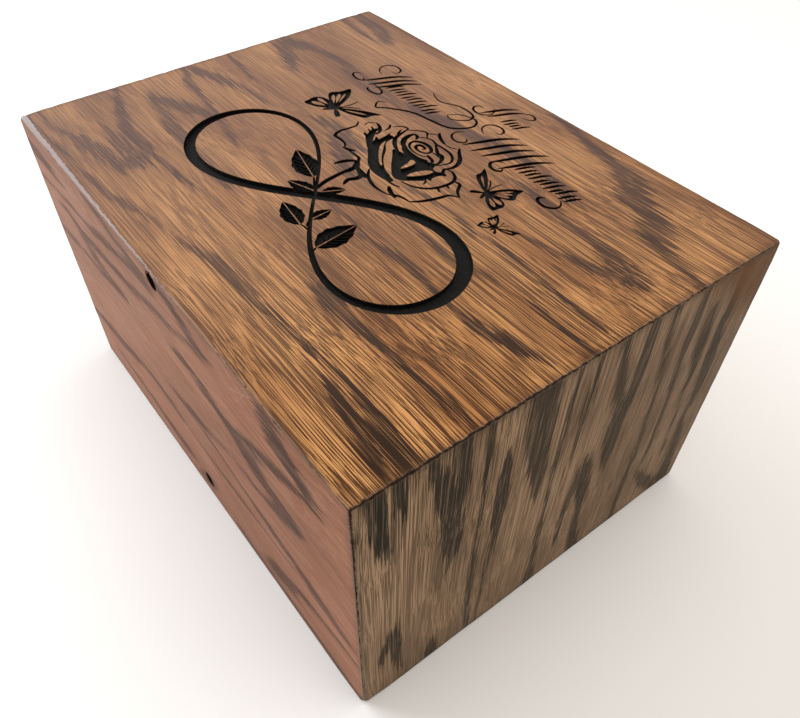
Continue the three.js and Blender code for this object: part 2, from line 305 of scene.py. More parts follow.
class Drawing:
    """The carving of the top: loop, leaves, rose, butterflies and rows of strokes."""

    def __init__(self, sizes: CarvingSizes) -> None:
        """Keeps the sizes.

        Args:
            sizes: Sizes of the carving.
        """
        self.sizes = sizes

    def cuts(self) -> list[Cut]:
        """Draws everything.

        Returns:
            All cuts, around the middle of the loop.
        """
        z = self.sizes
        made = [Cut(line, z.loop_cut) for line in self.loop()]
        made += [cut for leaf in self.leaves() for cut in leaf]
        made += [Cut(line, z.flower_cut) for line in self.stalks()]
        made += self.rose()
        made += self.butterflies()
        made += [Cut(line, z.line_cut) for line in self.inscription()]
        return made

    def loop(self) -> list[Line]:
        """The loop: one band that thins to a stem on its way through the crossing.

        Returns:
            Two outlines that overlap at both ends.
        """
        z = self.sizes
        swell = 0.6  # what the band gains towards one end of the loop and loses towards the other
        dip = 268  # degrees along the loop where the band is a stem
        reach = 90  # degrees over which it thins
        spots = 131
        made = []
        for start, end in ((-6, 184), (176, 356)):
            deg = np.linspace(start, end, spots)
            t = np.radians(deg)
            line = np.stack(
                [z.half_length * np.cos(t) * (1 - z.pinch * np.sin(t) ** 2), z.half_rise * np.sin(2 * t)],
                1,
            )
            d = deg % 360
            far = np.where(d < dip, z.band - swell, z.band + swell)
            thin = z.stem + (far - z.stem) * np.minimum(1, np.abs(d - dip) / reach) ** 1.6
            width = np.where(d <= 180, z.band + swell * np.cos(t), thin)
            made.append(ribbon(line, width))
        return made

    def leaves(self) -> list[list[Cut]]:
        """The leaves: each is two halves with the midrib left standing between them.

        Returns:
            The two cuts of each leaf.
        """
        # root, turn, length, width
        rows = [
            (-10.8, 6.65, 166, 22.0, 10.5),
            (-2.28, 1.7, 200, 13.6, 6.6),
            (12.8, -14.4, 172, 16.6, 8.6),
            (27.7, -17.3, 97, 19.4, 11.2),
            (-0.28, 3.5, 62, 9.6, 5.4),
            (12.4, -9.5, 94, 9.6, 5.6),
        ]
        return [[self.half_leaf(side, *row) for side in (1, -1)] for row in rows]

    def half_leaf(self, side: int, x: float, y: float, turn: float, length: float, width: float) -> Cut:
        """One half of a leaf, with its side veins left standing.

        Args:
            side: +1 or -1.
            x: Root, across.
            y: Root, up.
            turn: Degrees.
            length: Length of the leaf.
            width: Width of the whole leaf.

        Returns:
            The cut.
        """
        steps = 40
        s = np.arange(steps + 1) / steps
        half = 0.5 * width * np.clip(np.sin(np.pi * s**0.82), 0, 1) ** 0.85
        half *= 1 + 0.05 * np.sin(9 * np.pi * s) + (0.06 if side > 0 else -0.04)
        half[[0, -1]] = 0
        rib = self.sizes.rib / 2
        outer = np.stack([length * s, side * np.maximum(half, rib)], 1)
        inner = np.stack([length * s, side * rib * (1 - 0.6 * s)], 1)[1:-1][::-1]
        veins = []
        count = 5 if length > 12 else 3
        for i in range(count):
            root = 0.14 + 0.62 * i / count
            reach = 0.62 * 0.5 * width * math.sin(math.pi * (root + 0.1) ** 0.82)
            line = [
                [length * root, side * rib * 0.6],
                [length * (root + 0.09), side * (rib + reach * 0.55)],
                [length * (root + 0.2), side * (rib + reach)],
            ]
            veins.append(place(ribbon(spline(line, 8), np.linspace(0.34, 0.1, 9)), x, y, turn))
        outline = place(np.vstack([outer, inner]), x, y, turn)
        return Cut(outline, self.sizes.flower_cut, ribs=veins)

    def stalks(self) -> list[Line]:
        """Short stalks between the leaves and the loop.

        Returns:
            Their outlines.
        """
        rows = [
            [[-3.4, 1.8], [-7.5, 4.7], [-10.8, 6.65]],
            [[12.6, -14.4], [15.0, -13.9], [16.8, -14.2]],
            [[27.7, -17.3], [28.6, -19.3], [29.5, -20.8]],
            [[12.4, -9.5], [13.2, -11.4], [15.0, -13.2]],
        ]
        return [stroke(row, 0.95, 0.6, 12) for row in rows]

    def rose(self) -> list[Cut]:
        """The rose: a coiled heart, shaded petals with light ones standing in them, and its outline.

        Returns:
            Its cuts.
        """
        down = self.sizes.flower_cut
        made = [Cut(line, down) for line in self.rose_lines()]
        # shade left of the heart and below it
        left = [
            [-19.9, 52.4], [-18.6, 50.2], [-16.8, 50.6], [-15.2, 49.6], [-14.7, 46.6], [-13.4, 44.2],
            [-10.5, 42.2], [-8.3, 40.2], [-6.2, 37.9], [-3.4, 35.6], [0.2, 33.4], [4.2, 31.6],
            [7.6, 31.0], [10.4, 30.2], [9.6, 28.3], [4.5, 27.4], [0.0, 27.4], [-3.6, 28.4],
            [-7.6, 30.6], [-11.0, 33.2], [-15.2, 36.1], [-17.3, 38.8], [-18.6, 41.2], [-19.4, 44.4],
            [-18.4, 44.2], [-18.8, 47.8],
        ]
        # shade of the middle petals, with two light petals in it
        middle = [
            [-8.4, 44.4], [-3.2, 45.8], [1.2, 45.6], [3.4, 46.4], [5.4, 48.8], [9.4, 50.3],
            [11.5, 51.4], [12.5, 49.0], [14.0, 47.8], [16.4, 48.4], [17.6, 50.0], [20.6, 49.0],
            [18.7, 46.9], [18.3, 43.6], [19.4, 41.8], [17.7, 41.4], [17.4, 39.4], [15.0, 36.2],
            [12.8, 33.4], [9.6, 31.6], [6.4, 32.4], [3.4, 34.4], [0.2, 36.8], [-4.4, 40.8],
        ]
        light = [
            [[2.6, 45.1], [5.0, 45.4], [5.9, 43.2], [5.7, 40.0], [5.0, 38.0], [4.4, 39.6], [3.8, 42.4]],
            [
                [10.9, 41.5], [12.2, 44.6], [14.6, 46.9], [15.0, 44.2], [13.6, 40.6], [11.0, 36.6],
                [10.4, 38.6],
            ],
        ]
        sliver = [
            [-15.4, 45.6], [-12.9, 42.8], [-9.8, 39.9], [-6.6, 37.0], [-2.6, 34.2], [1.6, 32.4],
            [-3.4, 33.6], [-7.6, 36.2], [-11.2, 39.0], [-14.2, 42.2],
        ]
        made.append(Cut(spline(left, 4 * len(left), True), down, [spline(sliver, 40, True)]))
        made.append(Cut(spline(middle, 4 * len(middle), True), down, [spline(r, 28, True) for r in light]))
        return made

    def rose_lines(self) -> list[Line]:
        """Every stroke of the rose.

        Returns:
            Their outlines.
        """
        s = np.arange(121) / 120
        turn = -60 + 760 * s
        reach = 0.5 + 6.6 * s
        heart = around(-1.7, 54.2, reach * 1.1, reach * 0.68, turn)
        swell = 0.7 + 1.5 * np.sin(np.pi * s) * (0.65 + 0.35 * np.sin(np.radians(turn - 40)))
        made = [ribbon(heart, swell)]
        # greatest width, then the points that each stroke runs through
        rows = [
            # left outer petals
            (
                1.6, [-35.6, 45.8], [-33.2, 43.2], [-33.3, 39], [-33.7, 35], [-32, 31.3],
                [-28, 31.3], [-24, 30.8], [-21.4, 28.8],
            ),
            (1.7, [-22.4, 28.6], [-19, 29.5], [-16.4, 31]),
            (1.6, [-18.4, 29], [-12, 29.2], [-9.4, 27.2], [-6, 24.8], [-3.2, 23]),
            (0.8, [-29.4, 51.4], [-32, 48.8], [-31.4, 46.2]),
            (1.7, [-30, 51.5], [-26.4, 50.6], [-23, 48], [-22.4, 45]),
            (3.2, [-24.6, 49.8], [-25.2, 46.8], [-22.6, 43], [-18.8, 39.6], [-14.6, 36.4]),
            (1.1, [-28.8, 47.9], [-26, 46.9], [-24, 45]),
            (1.0, [-27.8, 45.4], [-25.6, 45], [-23, 43.6]),
            (1.5, [-26.6, 42.4], [-23.4, 41.7], [-20.4, 39.4]),
            (1.2, [-25.2, 55.4], [-23, 53.2], [-22.4, 50.4]),
            (1.1, [-22.8, 55.2], [-20.6, 58.4], [-18, 59.3], [-16.6, 58.2]),
            # left inner petal
            (2.0, [-17.2, 59], [-16.3, 54.4], [-14.6, 50.2], [-11.4, 47.3], [-7.6, 45.4], [-3.6, 44.2]),
            (1.1, [-18.8, 56.6], [-17.6, 54.2], [-16.2, 52.6]),
            (1.2, [-20.4, 44.6], [-19, 43.4], [-17.2, 42.6]),
            (2.6, [-12.4, 59.2], [-12.8, 56], [-11.6, 52.6], [-9, 50], [-5.4, 48.2]),
            (3.4, [-9, 50.4], [-5, 48], [-0.5, 47.2], [4, 47.8], [7.4, 50]),
            (1.6, [-12.8, 58.6], [-10.4, 58.6], [-8.4, 56.4]),
            # crown of the rose
            (1.1, [-16.4, 58.6], [-14, 61.4], [-11, 63.6], [-9.4, 63.2], [-6.8, 61]),
            (0.8, [-10.2, 63.4], [-8, 64.6], [-6.2, 66.6]),
            (1.7, [-6.8, 68], [-4.8, 66.2], [-1.6, 64.7], [2, 63.8]),
            (0.8, [1.8, 63.8], [5, 64], [8, 65.8]),
            (2.0, [7.8, 66.6], [10.6, 64], [14.6, 61], [16.9, 57.4], [17.1, 54], [15.8, 51.8]),
            (1.5, [15.8, 52.2], [16.6, 50.6], [18.2, 49]),
            (
                1.3, [-9.2, 58.2], [-7.4, 60.4], [-4, 61.6], [0, 60.9], [4, 61.3], [9, 60.8],
                [12.6, 58.6], [13.9, 56], [13, 52.4], [11.6, 49.8],
            ),
            (1.9, [-0.6, 60.6], [2.2, 58.8], [5.2, 57], [8, 56.9], [10, 55.2], [11.4, 52.4], [11.2, 49.4]),
            (1.0, [3.4, 55.4], [6.4, 55.6], [9, 55.2]),
            (1.6, [3.6, 52.6], [6.2, 52.2], [8.6, 51.4], [9.8, 49.6]),
            # right outer petals
            (
                1.7, [15.8, 52], [19.4, 52.7], [22.6, 51.5], [24.9, 48.8], [25.2, 45],
                [24.3, 40.5], [22, 36.8], [18, 33.9], [12.4, 32.4],
            ),
            (1.5, [24.8, 48.6], [28, 49.4], [31.2, 45.6], [35, 43.4]),
            (1.8, [34.6, 43.6], [31.2, 41.2], [30.4, 38], [29, 33], [27, 28.8], [25.2, 26.4]),
            (1.4, [25.8, 26.6], [21.6, 26], [18.6, 24.8], [16.4, 22.6]),
            (2.0, [12.2, 26.6], [15.6, 24.8], [20.4, 23.8]),
            (1.1, [24.6, 44.8], [26, 44.8], [27.8, 44.2]),
            (1.0, [24.2, 41.2], [26, 40.4], [27.6, 39.8]),
            (1.0, [17.4, 40.8], [18.6, 39.8], [19.4, 38]),
            # below
            (1.6, [-2.4, 27.8], [1, 24.7], [5.6, 22.6], [10.6, 22], [16.8, 22.8]),
            (1.1, [7.6, 28.3], [12, 28.5], [15.4, 29.6]),
            (1.2, [-1.8, 33.8], [2, 31.8], [6.8, 31.2]),
            # sepals
            (2.3, [-9.6, 27.4], [-12.2, 24.6], [-13.4, 21.6], [-14, 18.4]),
            (2.6, [-10.4, 27], [-7.4, 24.6], [-6.2, 21.6], [-6.4, 17.4]),
            (2.6, [-6.8, 24.8], [-1.2, 23], [0.3, 20], [-1, 16.4], [0.8, 13]),
            (3.0, [-6, 24.4], [-1, 23.2], [2.8, 23.6]),
        ]
        made += [stroke(points, wide, 0.3, 10 * (len(points) - 1), 1, 0.55) for wide, *points in rows]
        made.append(stroke([[-7.0, 24.2], [-6.2, 14], [-5.2, 8], [-3.2, 2.8]], 2.3, 1.4, 24))
        return made

    def butterflies(self) -> list[Cut]:
        """Three butterflies.

        Returns:
            The cuts of their wings, bodies and feelers.
        """
        # place, size, heading, side of the open wings, squeeze of the others, fore and hind turns
        rows = [
            (-51.45, 44.14, 17.4, 65, 1, 0.5, (67, 33), (121, 82)),
            (38.54, 53.58, 13.6, 110, -1, 0.5, (60, 34), (113, 104)),
            (57.41, 41.3, 7.8, 80, 1, 0.55, (61, 53), (114, 120)),
        ]
        return [cut for row in rows for cut in self.butterfly(*row)]

    def wing(self, hind: bool, size: float, flat: float) -> tuple[Line, list[Line]]:
        """A wing is an outline with light cells left standing inside it.

        Args:
            hind: Whether it is a hind wing.
            size: Length of the wing.
            flat: How open it is seen.

        Returns:
            The outline and the cells.
        """
        if hind:
            rim = [
                [0, -0.04], [0.38, -0.2], [0.78, -0.17], [0.98, 0.0], [0.98, 0.24], [0.94, 0.46],
                [0.62, 0.42], [0.3, 0.26],
            ]
            cells = [(-1, 0.34, 0.86, 0.07), (18, 0.32, 0.86, 0.075)]
        else:
            rim = [
                [0, -0.02], [0.3, -0.16], [0.7, -0.24], [1.07, -0.17],
                [0.9, 0.05], [0.76, 0.33], [0.34, 0.22],
            ]
            cells = [(-7, 0.3, 0.8, 0.03), (4, 0.26, 0.76, 0.052), (17, 0.26, 0.7, 0.05)]
        # a wing seen aslant has room for one cell, or none
        if flat < 0.7:
            cells = [] if hind else [cells[1]]
        s = np.arange(11) / 10
        drawn = []
        for turn, start, end, wide in cells:
            across = wide * np.clip(np.sin(np.pi * s**1.5), 0, 1) ** 0.7
            along = start + (end - start) * s
            upper = np.stack([along, across], 1)
            lower = np.stack([along, -across], 1)[1:-1][::-1]
            drawn.append(place(np.vstack([upper, lower]), 0, 0, turn))
        grow = np.array([size, size * flat])
        return spline(rim, 48, True) * grow, [cell * grow for cell in drawn]

    def butterfly(
        self,
        x: float,
        y: float,
        size: float,
        head: float,
        near: int,
        squeeze: float,
        fore: tuple[float, float],
        hind: tuple[float, float],
    ) -> list[Cut]:
        """One butterfly, seen aslant.

        Args:
            x: Middle, across.
            y: Middle, up.
            size: Length of an open fore wing.
            head: Heading, degrees.
            near: +1 when the open wings are on the left of the body.
            squeeze: How open the other wings are seen.
            fore: Turns of the fore wings.
            hind: Turns of the hind wings.

        Returns:
            Its cuts.
        """
        down = self.sizes.line_cut
        made = []
        pairs = ((near, 1.0, fore[0], hind[0], 1.0, 0.82), (-near, squeeze, fore[1], hind[1], 1.17, 0.46))
        for side, flat, fore_turn, hind_turn, fore_size, hind_size in pairs:
            for is_hind, turn, length in ((False, fore_turn, fore_size), (True, hind_turn, hind_size)):
                outline, cells = self.wing(is_hind, size * length, flat)

                def put(points: Line) -> Line:
                    """Turns a wing's line to its place."""
                    return place(place(points, 0, 0, turn) * [1, side], x, y, head)

                made.append(Cut(put(outline), down, [put(cell) for cell in cells]))
        body = ribbon(spline([[-0.32, 0], [0, 0], [0.22, 0]], 16), taper(16, 0.15, 0.03))
        made.append(Cut(place(body, x, y, head, size), down))
        for s in (1, -1):
            line = [[0.2, 0.02 * s], [0.42, 0.07 * s], [0.64, 0.19 * s]]
            made.append(Cut(place(stroke(line, 0.05, 0.035, 10), x, y, head, size), down))
        return made

    def inscription(self) -> list[Line]:
        """The inscription's place: rows of leaning strokes, with open coils and a flourish.

        Returns:
            Their outlines.
        """
        made = []
        # left end, foot, count, pitch, height, lean, width, unevenness
        rows = [
            (-7.54, 93.13, 2, 4.2, 15.5, 24, 2.0, 0),
            (2.62, 94.58, 4, 2.5, 6.4, 20, 1.5, 0.25),
            (-62.7, 69.18, 3, 4.4, 20.5, 24, 2.1, 0.06),
            (-51.81, 73.18, 11, 2.9, 7.4, 20, 1.6, 0.22),
            (8.42, 69.18, 5, 5.6, 22.0, 22, 2.2, 0.06),
            (33.82, 73.54, 11, 2.75, 7.6, 20, 1.7, 0.22),
        ]
        for x, y, count, pitch, height, lean, wide, uneven in rows:
            for i in range(count):
                h = height * (1 + uneven * math.sin(2.4 * i + 0.6))
                dx = h * math.tan(math.radians(lean))
                px = x + pitch * i
                py = y + 0.35 * uneven * h * math.sin(4.1 * i)
                line = [[px - dx * 0.25, py], [px + dx * 0.05, py + h * 0.3]]
                line += [[px + dx * 0.45, py + h * 0.7], [px + dx, py + h]]
                made.append(stroke(line, wide, 0.35, 16, 1, 0.9))
        # middle, inner and outer radius, first angle, sweep, width, squash
        coils = [
            (-11.53, 95.67, 2.0, 7.0, 90, 330, 1.2, 0.75),
            (5.88, 108.01, 1.2, 5.2, 200, -300, 1.1, 0.6),
            (-64.51, 86.6, 2.2, 8.0, 300, 330, 1.1, 0.8),
            (-68.14, 70.27, 1.6, 7.0, 60, -310, 1.2, 0.45),
            (-55.8, 67.73, 2.0, 8.5, 180, 300, 1.3, 0.45),
            (6.61, 88.05, 2.0, 7.6, 300, 320, 1.2, 0.75),
            (2.62, 72.45, 1.8, 6.6, 60, -300, 1.2, 0.8),
            (28.74, 69.55, 1.2, 6.4, 30, -290, 1.6, 0.7),
            (55.96, 68.46, 1.6, 7.2, 120, 300, 1.6, 0.7),
        ]
        s = np.arange(41) / 40
        for x, y, r0, r1, first, sweep, wide, squash in coils:
            r = r0 + (r1 - r0) * s
            made.append(ribbon(around(x, y, r, r * squash, first + sweep * s), taper(40, wide, 0.4)))
        flourish = [
            [
                [-35.8, 87.9], [-27.9, 85.5], [-18.8, 89.5], [-9.7, 89.1], [-7.5, 84.8], [-12.4, 79.3],
                [-16.6, 80.1],
            ],
            [
                [-16.6, 80.1], [-13.4, 84.8], [-5.7, 87.3], [-2.1, 82.3], [-7.0, 74.3], [-17.9, 71.4],
                [-27.9, 69.2], [-37.3, 63.0], [-40.9, 59.4], [-44.5, 63.0], [-41.6, 65.9],
            ],
        ]
        for i, line in enumerate(flourish):
            made.append(stroke(line, 1.2 + 0.3 * i, 0.4, 10 * (len(line) - 1)))
        return made


# Boards


class Side(Enum):
    """The six boards: middle of the outer face in half sizes, its two axes and its grain."""

    TOP = ((0, 0, 1), (1, 0, 0), (0, 1, 0), "across")
    BOTTOM = ((0, 0, -1), (1, 0, 0), (0, -1, 0), "across")
    FRONT = ((0, -1, 0), (1, 0, 0), (0, 0, 1), "across")
    BACK = ((0, 1, 0), (-1, 0, 0), (0, 0, 1), "across")
    RIGHT = ((1, 0, 0), (0, 1, 0), (0, 0, 1), "upright")
    LEFT = ((-1, 0, 0), (0, -1, 0), (0, 0, 1), "upright")

    def __init__(self, normal: tuple, across: tuple, up: tuple, grain: str) -> None:
        """Keeps the axes as arrays.

        Args:
            normal: Outward direction.
            across: Direction of the face's first axis.
            up: Direction of its second axis.
            grain: Which of them the grain follows.
        """
        self.normal = np.array(normal, float)
        self.across = np.array(across, float)
        self.up = np.array(up, float)
        self.grain = grain


def wave(values: np.ndarray, *terms: tuple[float, float, float]) -> np.ndarray:
    """A sum of sines, for slow unevenness that is the same on every run.

    Args:
        values: Places along a line, millimetres.
        *terms: Length of each wave, its height and its start.

    Returns:
        The heights.
    """
    return sum(high * np.sin(2 * np.pi * values / long + start) for long, high, start in terms)


class Arris:
    """How far each edge of the box is rounded, the same for both boards that meet there."""

    least = 0.75
    most = 3.2
    strip = 6.0  # how far from an edge its own unevenness runs

    def __init__(self, box: BoxSizes) -> None:
        """Keeps the box.

        Args:
            box: Sizes of the box.
        """
        self.box = box
        half = box.half
        # corner, radius there, how far the wear runs
        self.wear_and_highlight = [
            (np.array([half[0], -half[1], -half[2]]), 3.0, 9.0),
            (np.array([-half[0], -half[1], half[2]]), 1.9, 8.0),
            (np.array([half[0], half[1], half[2]]), 1.7, 7.0),
            (np.array([half[0], -half[1], half[2]]), 1.25, 5.0),
            (np.array([-half[0], half[1], half[2]]), 1.6, 7.0),
        ]

    def radius(self, places: np.ndarray) -> np.ndarray:
        """Radius of the rounding at places on the box.

        Args:
            places: Places relative to the middle of the box, one row each.

        Returns:
            The radii.
        """
        base = self.box.arris
        made = np.full(len(places), base)
        x, y, z = places.T
        made += wave(x + 0.7 * z, (37, 0.07, 0.4), (11.3, 0.05, 2.0), (5.1, 0.03, 1.0))
        made += wave(y - 0.6 * z, (41, 0.07, 1.4), (9.7, 0.06, 0.3), (4.3, 0.03, 2.2))
        # small nicks along the far left edge of the top
        along = np.clip(1 - np.abs(x + self.box.half[0]) / self.strip, 0, 1)
        along = along * (z > self.box.half[2] - self.strip)
        ragged = np.maximum(0, wave(y, (13.7, 0.5, 0.2), (6.1, 0.4, 1.9), (3.7, 0.3, 0.6)) - 0.35)
        made += along * ragged * 0.9
        # a slight unevenness of the lowest edge on the right
        low = np.clip(1 - np.abs(z + self.box.half[2]) / self.strip, 0, 1)
        made += low * np.maximum(0, wave(y, (63, 0.45, 0.5), (23, 0.25, 1.1)))
        for corner, radius, reach in self.wear_and_highlight:
            near = np.exp(-((np.linalg.norm(places - corner, axis=1) / reach) ** 2))
            made += (radius - base) * near
        return np.clip(made, self.least, self.most)

    def rounded(self, places: np.ndarray) -> np.ndarray:
        """Moves places on the sharp box onto the rounded one.

        Args:
            places: Places relative to the middle of the box.

        Returns:
            The moved places.
        """
        r = self.radius(places)[:, None]
        room = self.box.half - r
        inner = np.clip(places, -room, room)
        away = places - inner
        away /= np.maximum(np.linalg.norm(away, axis=1), 1e-9)[:, None]
        return inner + away * r


@dataclass(frozen=True)
class Streak:
    """One dark band of the figure: its line over the face and its width along it.

    Each point is (across, up, width) in millimetres from the middle of the face. half_share is
    the part of the width that lies on each side of the line.
    """

    points: tuple[tuple[float, float, float], ...]
    half_share: float = 0.65

    def edge_distance(self, spots: np.ndarray, reach: np.ndarray) -> np.ndarray:
        """Distance from the band's edge, below zero inside the band.

        Args:
            spots: Places on the face.
            reach: How far a band spreads along each axis for each millimetre of its width.

        Returns:
            The distances, in millimetres across the grain.
        """
        line = spline(self.points, 6 * (len(self.points) - 1))
        best = np.full(len(spots), FAR)
        where = spots / reach
        for a, b in zip(line[:-1], line[1:]):
            start, run = a[:2] / reach, (b[:2] - a[:2]) / reach
            t = np.clip(((where - start) @ run) / max(run @ run, 1e-9), 0, 1)
            gap = np.linalg.norm(where - (start + t[:, None] * run), axis=1)
            best = np.minimum(best, gap - self.half_share * (a[2] + (b[2] - a[2]) * t))
        return best


@dataclass
class Board:
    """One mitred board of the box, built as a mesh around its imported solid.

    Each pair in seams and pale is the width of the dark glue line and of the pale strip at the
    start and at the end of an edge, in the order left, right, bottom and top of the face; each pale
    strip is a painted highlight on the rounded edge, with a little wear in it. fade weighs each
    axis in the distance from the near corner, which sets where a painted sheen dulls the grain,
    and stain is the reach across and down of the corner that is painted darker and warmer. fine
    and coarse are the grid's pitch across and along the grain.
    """

    name: str
    node: str
    slot: str
    side: Side
    box: BoxSizes
    arris: Arris
    streaks: Sequence[Streak] = ()
    cuts: Sequence[Cut] = ()
    cuts_from: tuple[float, float] = (0.0, 0.0)
    screws: Sequence[tuple[float, float]] = ()
    seams: Sequence[tuple[float, float]] = ((0.3, 0.3),) * 4
    pale: Sequence[tuple[float, float]] = (NO_HIGHLIGHT,) * 4
    fade: tuple[float, float, float] = (1.0, 1.0, 1.0)
    stain: tuple[float, float] = (0.0, 0.0)
    fine: float = 1.0
    coarse: float = 3.0

    edge_lines = (0.5, 0.8, 1.15, 1.6, 2.2, 3.0, 4.0)
    clear = 0.5  # room between the carving's outlines and the grid's points
    weld = 1e-4
    rib_depth = 0.4  # share of the carving's depth that a rib stands under the face
    smooth_below = 32  # degrees between two faces that are shaded as one
    spread = 3.6  # how far a dark band runs along the grain for each millimetre across it
    # how far from the near corner the wood stays clear of the painted sheen
    sheen_free_reach = 120.0
    blackened_down = (0.02, 3.0)  # depths painted black: the carving's floor and walls, and the screw holes' walls near the face, whose black is painted shade; not the board's side
    blackened_inset = 4.0  # and how far in from the edge of the face it starts

    def __post_init__(self) -> None:
        """Works out the size of the face and where its middle is."""
        self.width = float(2 * abs(self.side.across) @ self.box.half)
        self.rise = float(2 * abs(self.side.up) @ self.box.half)
        self.face = self.side.normal * self.box.half

    def lines(self, size: float, pitch: float) -> np.ndarray:
        """Places of the grid lines over one axis of the face, close together near the edges.

        Args:
            size: Size of the face.
            pitch: Pitch between the edges.

        Returns:
            The places.
        """
        near = np.array([self.box.setback, *self.edge_lines])
        room = size / 2 - near[-1]
        count = max(2, round(2 * room / pitch))
        inner = np.linspace(-room, room, count + 1)[1:-1]
        return np.concatenate([-size / 2 + near, inner, (size / 2 - near)[::-1]])

    def grid(self) -> np.ndarray:
        """Points over the outer face.

        Returns:
            The points, face coordinates.
        """
        along = self.side.grain == "across"
        u = self.lines(self.width, self.coarse if along else self.fine)
        v = self.lines(self.rise, self.fine if along else self.coarse)
        uu, vv = np.meshgrid(u, v)
        return np.stack([uu.ravel(), vv.ravel()], 1)

    @staticmethod
    def inside(spots: np.ndarray, outline: Line) -> np.ndarray:
        """Which spots an outline winds round.

        Args:
            spots: The spots.
            outline: A closed outline.

        Returns:
            One flag for each spot.
        """
        made = np.zeros(len(spots), bool)
        low, high = outline.min(0), outline.max(0)
        near = np.where(np.all((spots > low) & (spots < high), axis=1))[0]
        if not len(near):
            return made
        x, y = spots[near, 0][:, None], spots[near, 1][:, None]
        a, b = outline, np.roll(outline, -1, axis=0)
        cross = (b[:, 0] - a[:, 0]) * (y - a[:, 1]) - (x - a[:, 0]) * (b[:, 1] - a[:, 1])
        upward = (a[:, 1] <= y) & (b[:, 1] > y) & (cross > 0)
        downward = (a[:, 1] > y) & (b[:, 1] <= y) & (cross < 0)
        made[near] = (upward.sum(1) - downward.sum(1)) != 0
        return made

    def level(self, spots: np.ndarray) -> np.ndarray:
        """Depth of the carving at spots on the face.

        Args:
            spots: Face coordinates.

        Returns:
            The depths, zero where nothing is cut.
        """
        made = np.zeros(len(spots))
        for cut in self.cuts:
            held = self.inside(spots, cut.outline + self.cuts_from)
            for left in cut.standing:
                held &= ~self.inside(spots, left + self.cuts_from)
            made[held] = np.maximum(made[held], cut.down)
            for rib in cut.ribs:
                made[self.inside(spots, rib + self.cuts_from)] = cut.down * self.rib_depth
        return made

    def outlines(self) -> tuple[np.ndarray, list[tuple[int, int]]]:
        """Every outline of the carving, on the face.

        Returns:
            Their points and the edges between them.
        """
        points = [np.empty((0, 2))]
        edges: list[tuple[int, int]] = []
        start = 0
        for cut in self.cuts:
            for outline in (cut.outline, *cut.standing, *cut.ribs):
                count = len(outline)
                points.append(outline + self.cuts_from)
                edges += [(start + i, start + (i + 1) % count) for i in range(count)]
                start += count
        return np.vstack(points), edges

    def cleared(self, grid: np.ndarray, drawn: np.ndarray) -> np.ndarray:
        """Leaves out the grid's points that nearly touch an outline, which would only make slivers.

        Args:
            grid: The grid.
            drawn: The outlines' points.

        Returns:
            The points that stay.
        """
        cells = {tuple(c) for c in np.round(drawn / self.clear).astype(int)}
        nearby = [(i, j) for i in (-1, 0, 1) for j in (-1, 0, 1)]
        keep = [
            not any((i + di, j + dj) in cells for di, dj in nearby)
            for i, j in np.round(grid / self.clear).astype(int)
        ]
        return grid[keep]

    def triangles(self) -> tuple[np.ndarray, np.ndarray]:
        """Cuts the outer face into triangles along the grid and the carving's outlines.

        Returns:
            The points and the triangles.
        """
        drawn, edges = self.outlines()
        grid = self.cleared(self.grid(), drawn)
        cloud = np.vstack([grid, drawn])
        edges = [(a + len(grid), b + len(grid)) for a, b in edges]
        found = delaunay_2d_cdt([Vector(p) for p in cloud], edges, [], 0, self.weld)
        flat = np.array([p[:] for p in found[0]])
        faces = np.array(found[2])
        a, b, c = flat[faces[:, 0]], flat[faces[:, 1]], flat[faces[:, 2]]
        area = (b[:, 0] - a[:, 0]) * (c[:, 1] - a[:, 1]) - (b[:, 1] - a[:, 1]) * (c[:, 0] - a[:, 0])
        faces = np.where((area < 0)[:, None], faces[:, ::-1], faces)
        return flat, faces

    def build(self) -> bpy.types.Object:
        """Makes the board.

        Returns:
            The finished object, without a material.
        """
        flat, faces = self.triangles()
        depth = np.round(self.level(flat[faces].mean(1)), 3)
        corners = Corners(self, flat, faces, depth)
        made, rim = self.outside(corners, faces, depth)
        made += self.back(corners, rim)
        mesh = bpy.data.meshes.new(self.name)
        world = (np.array(corners.places) + self.box.middle) * MM
        mesh.from_pydata(world.tolist(), [], made)
        mesh.update()
        piece = hang(self.name, mesh)
        for x, height in self.screws:
            self.bore(piece, self.screw_space(x, height))
        self.write_layers(piece.data)
        piece.data.shade_smooth()
        piece.data.set_sharp_from_angle(angle=math.radians(self.smooth_below))
        return piece

    @staticmethod
    def outside(
        corners: "Corners", faces: np.ndarray, depth: np.ndarray
    ) -> tuple[list[list[int]], dict[int, int]]:
        """The outer face, with the floors and the walls of the carving.

        Args:
            corners: The board's vertices.
            faces: The triangles of the outer face.
            depth: The depth of each triangle.

        Returns:
            The faces, and the next point after each point on the border.
        """
        made = []
        owner = {}
        for face, down in zip(faces.tolist(), depth.tolist()):
            made.append([corners.at(i, down) for i in face])
            for edge in zip(face, face[1:] + face[:1]):
                owner[edge] = down
        rim = {}
        for (i, j), down in owner.items():
            other = owner.get((j, i))
            if other is None:
                rim[i] = j
            elif down < other:
                made.append(corners.wall(i, j, down, other))
        return made, rim

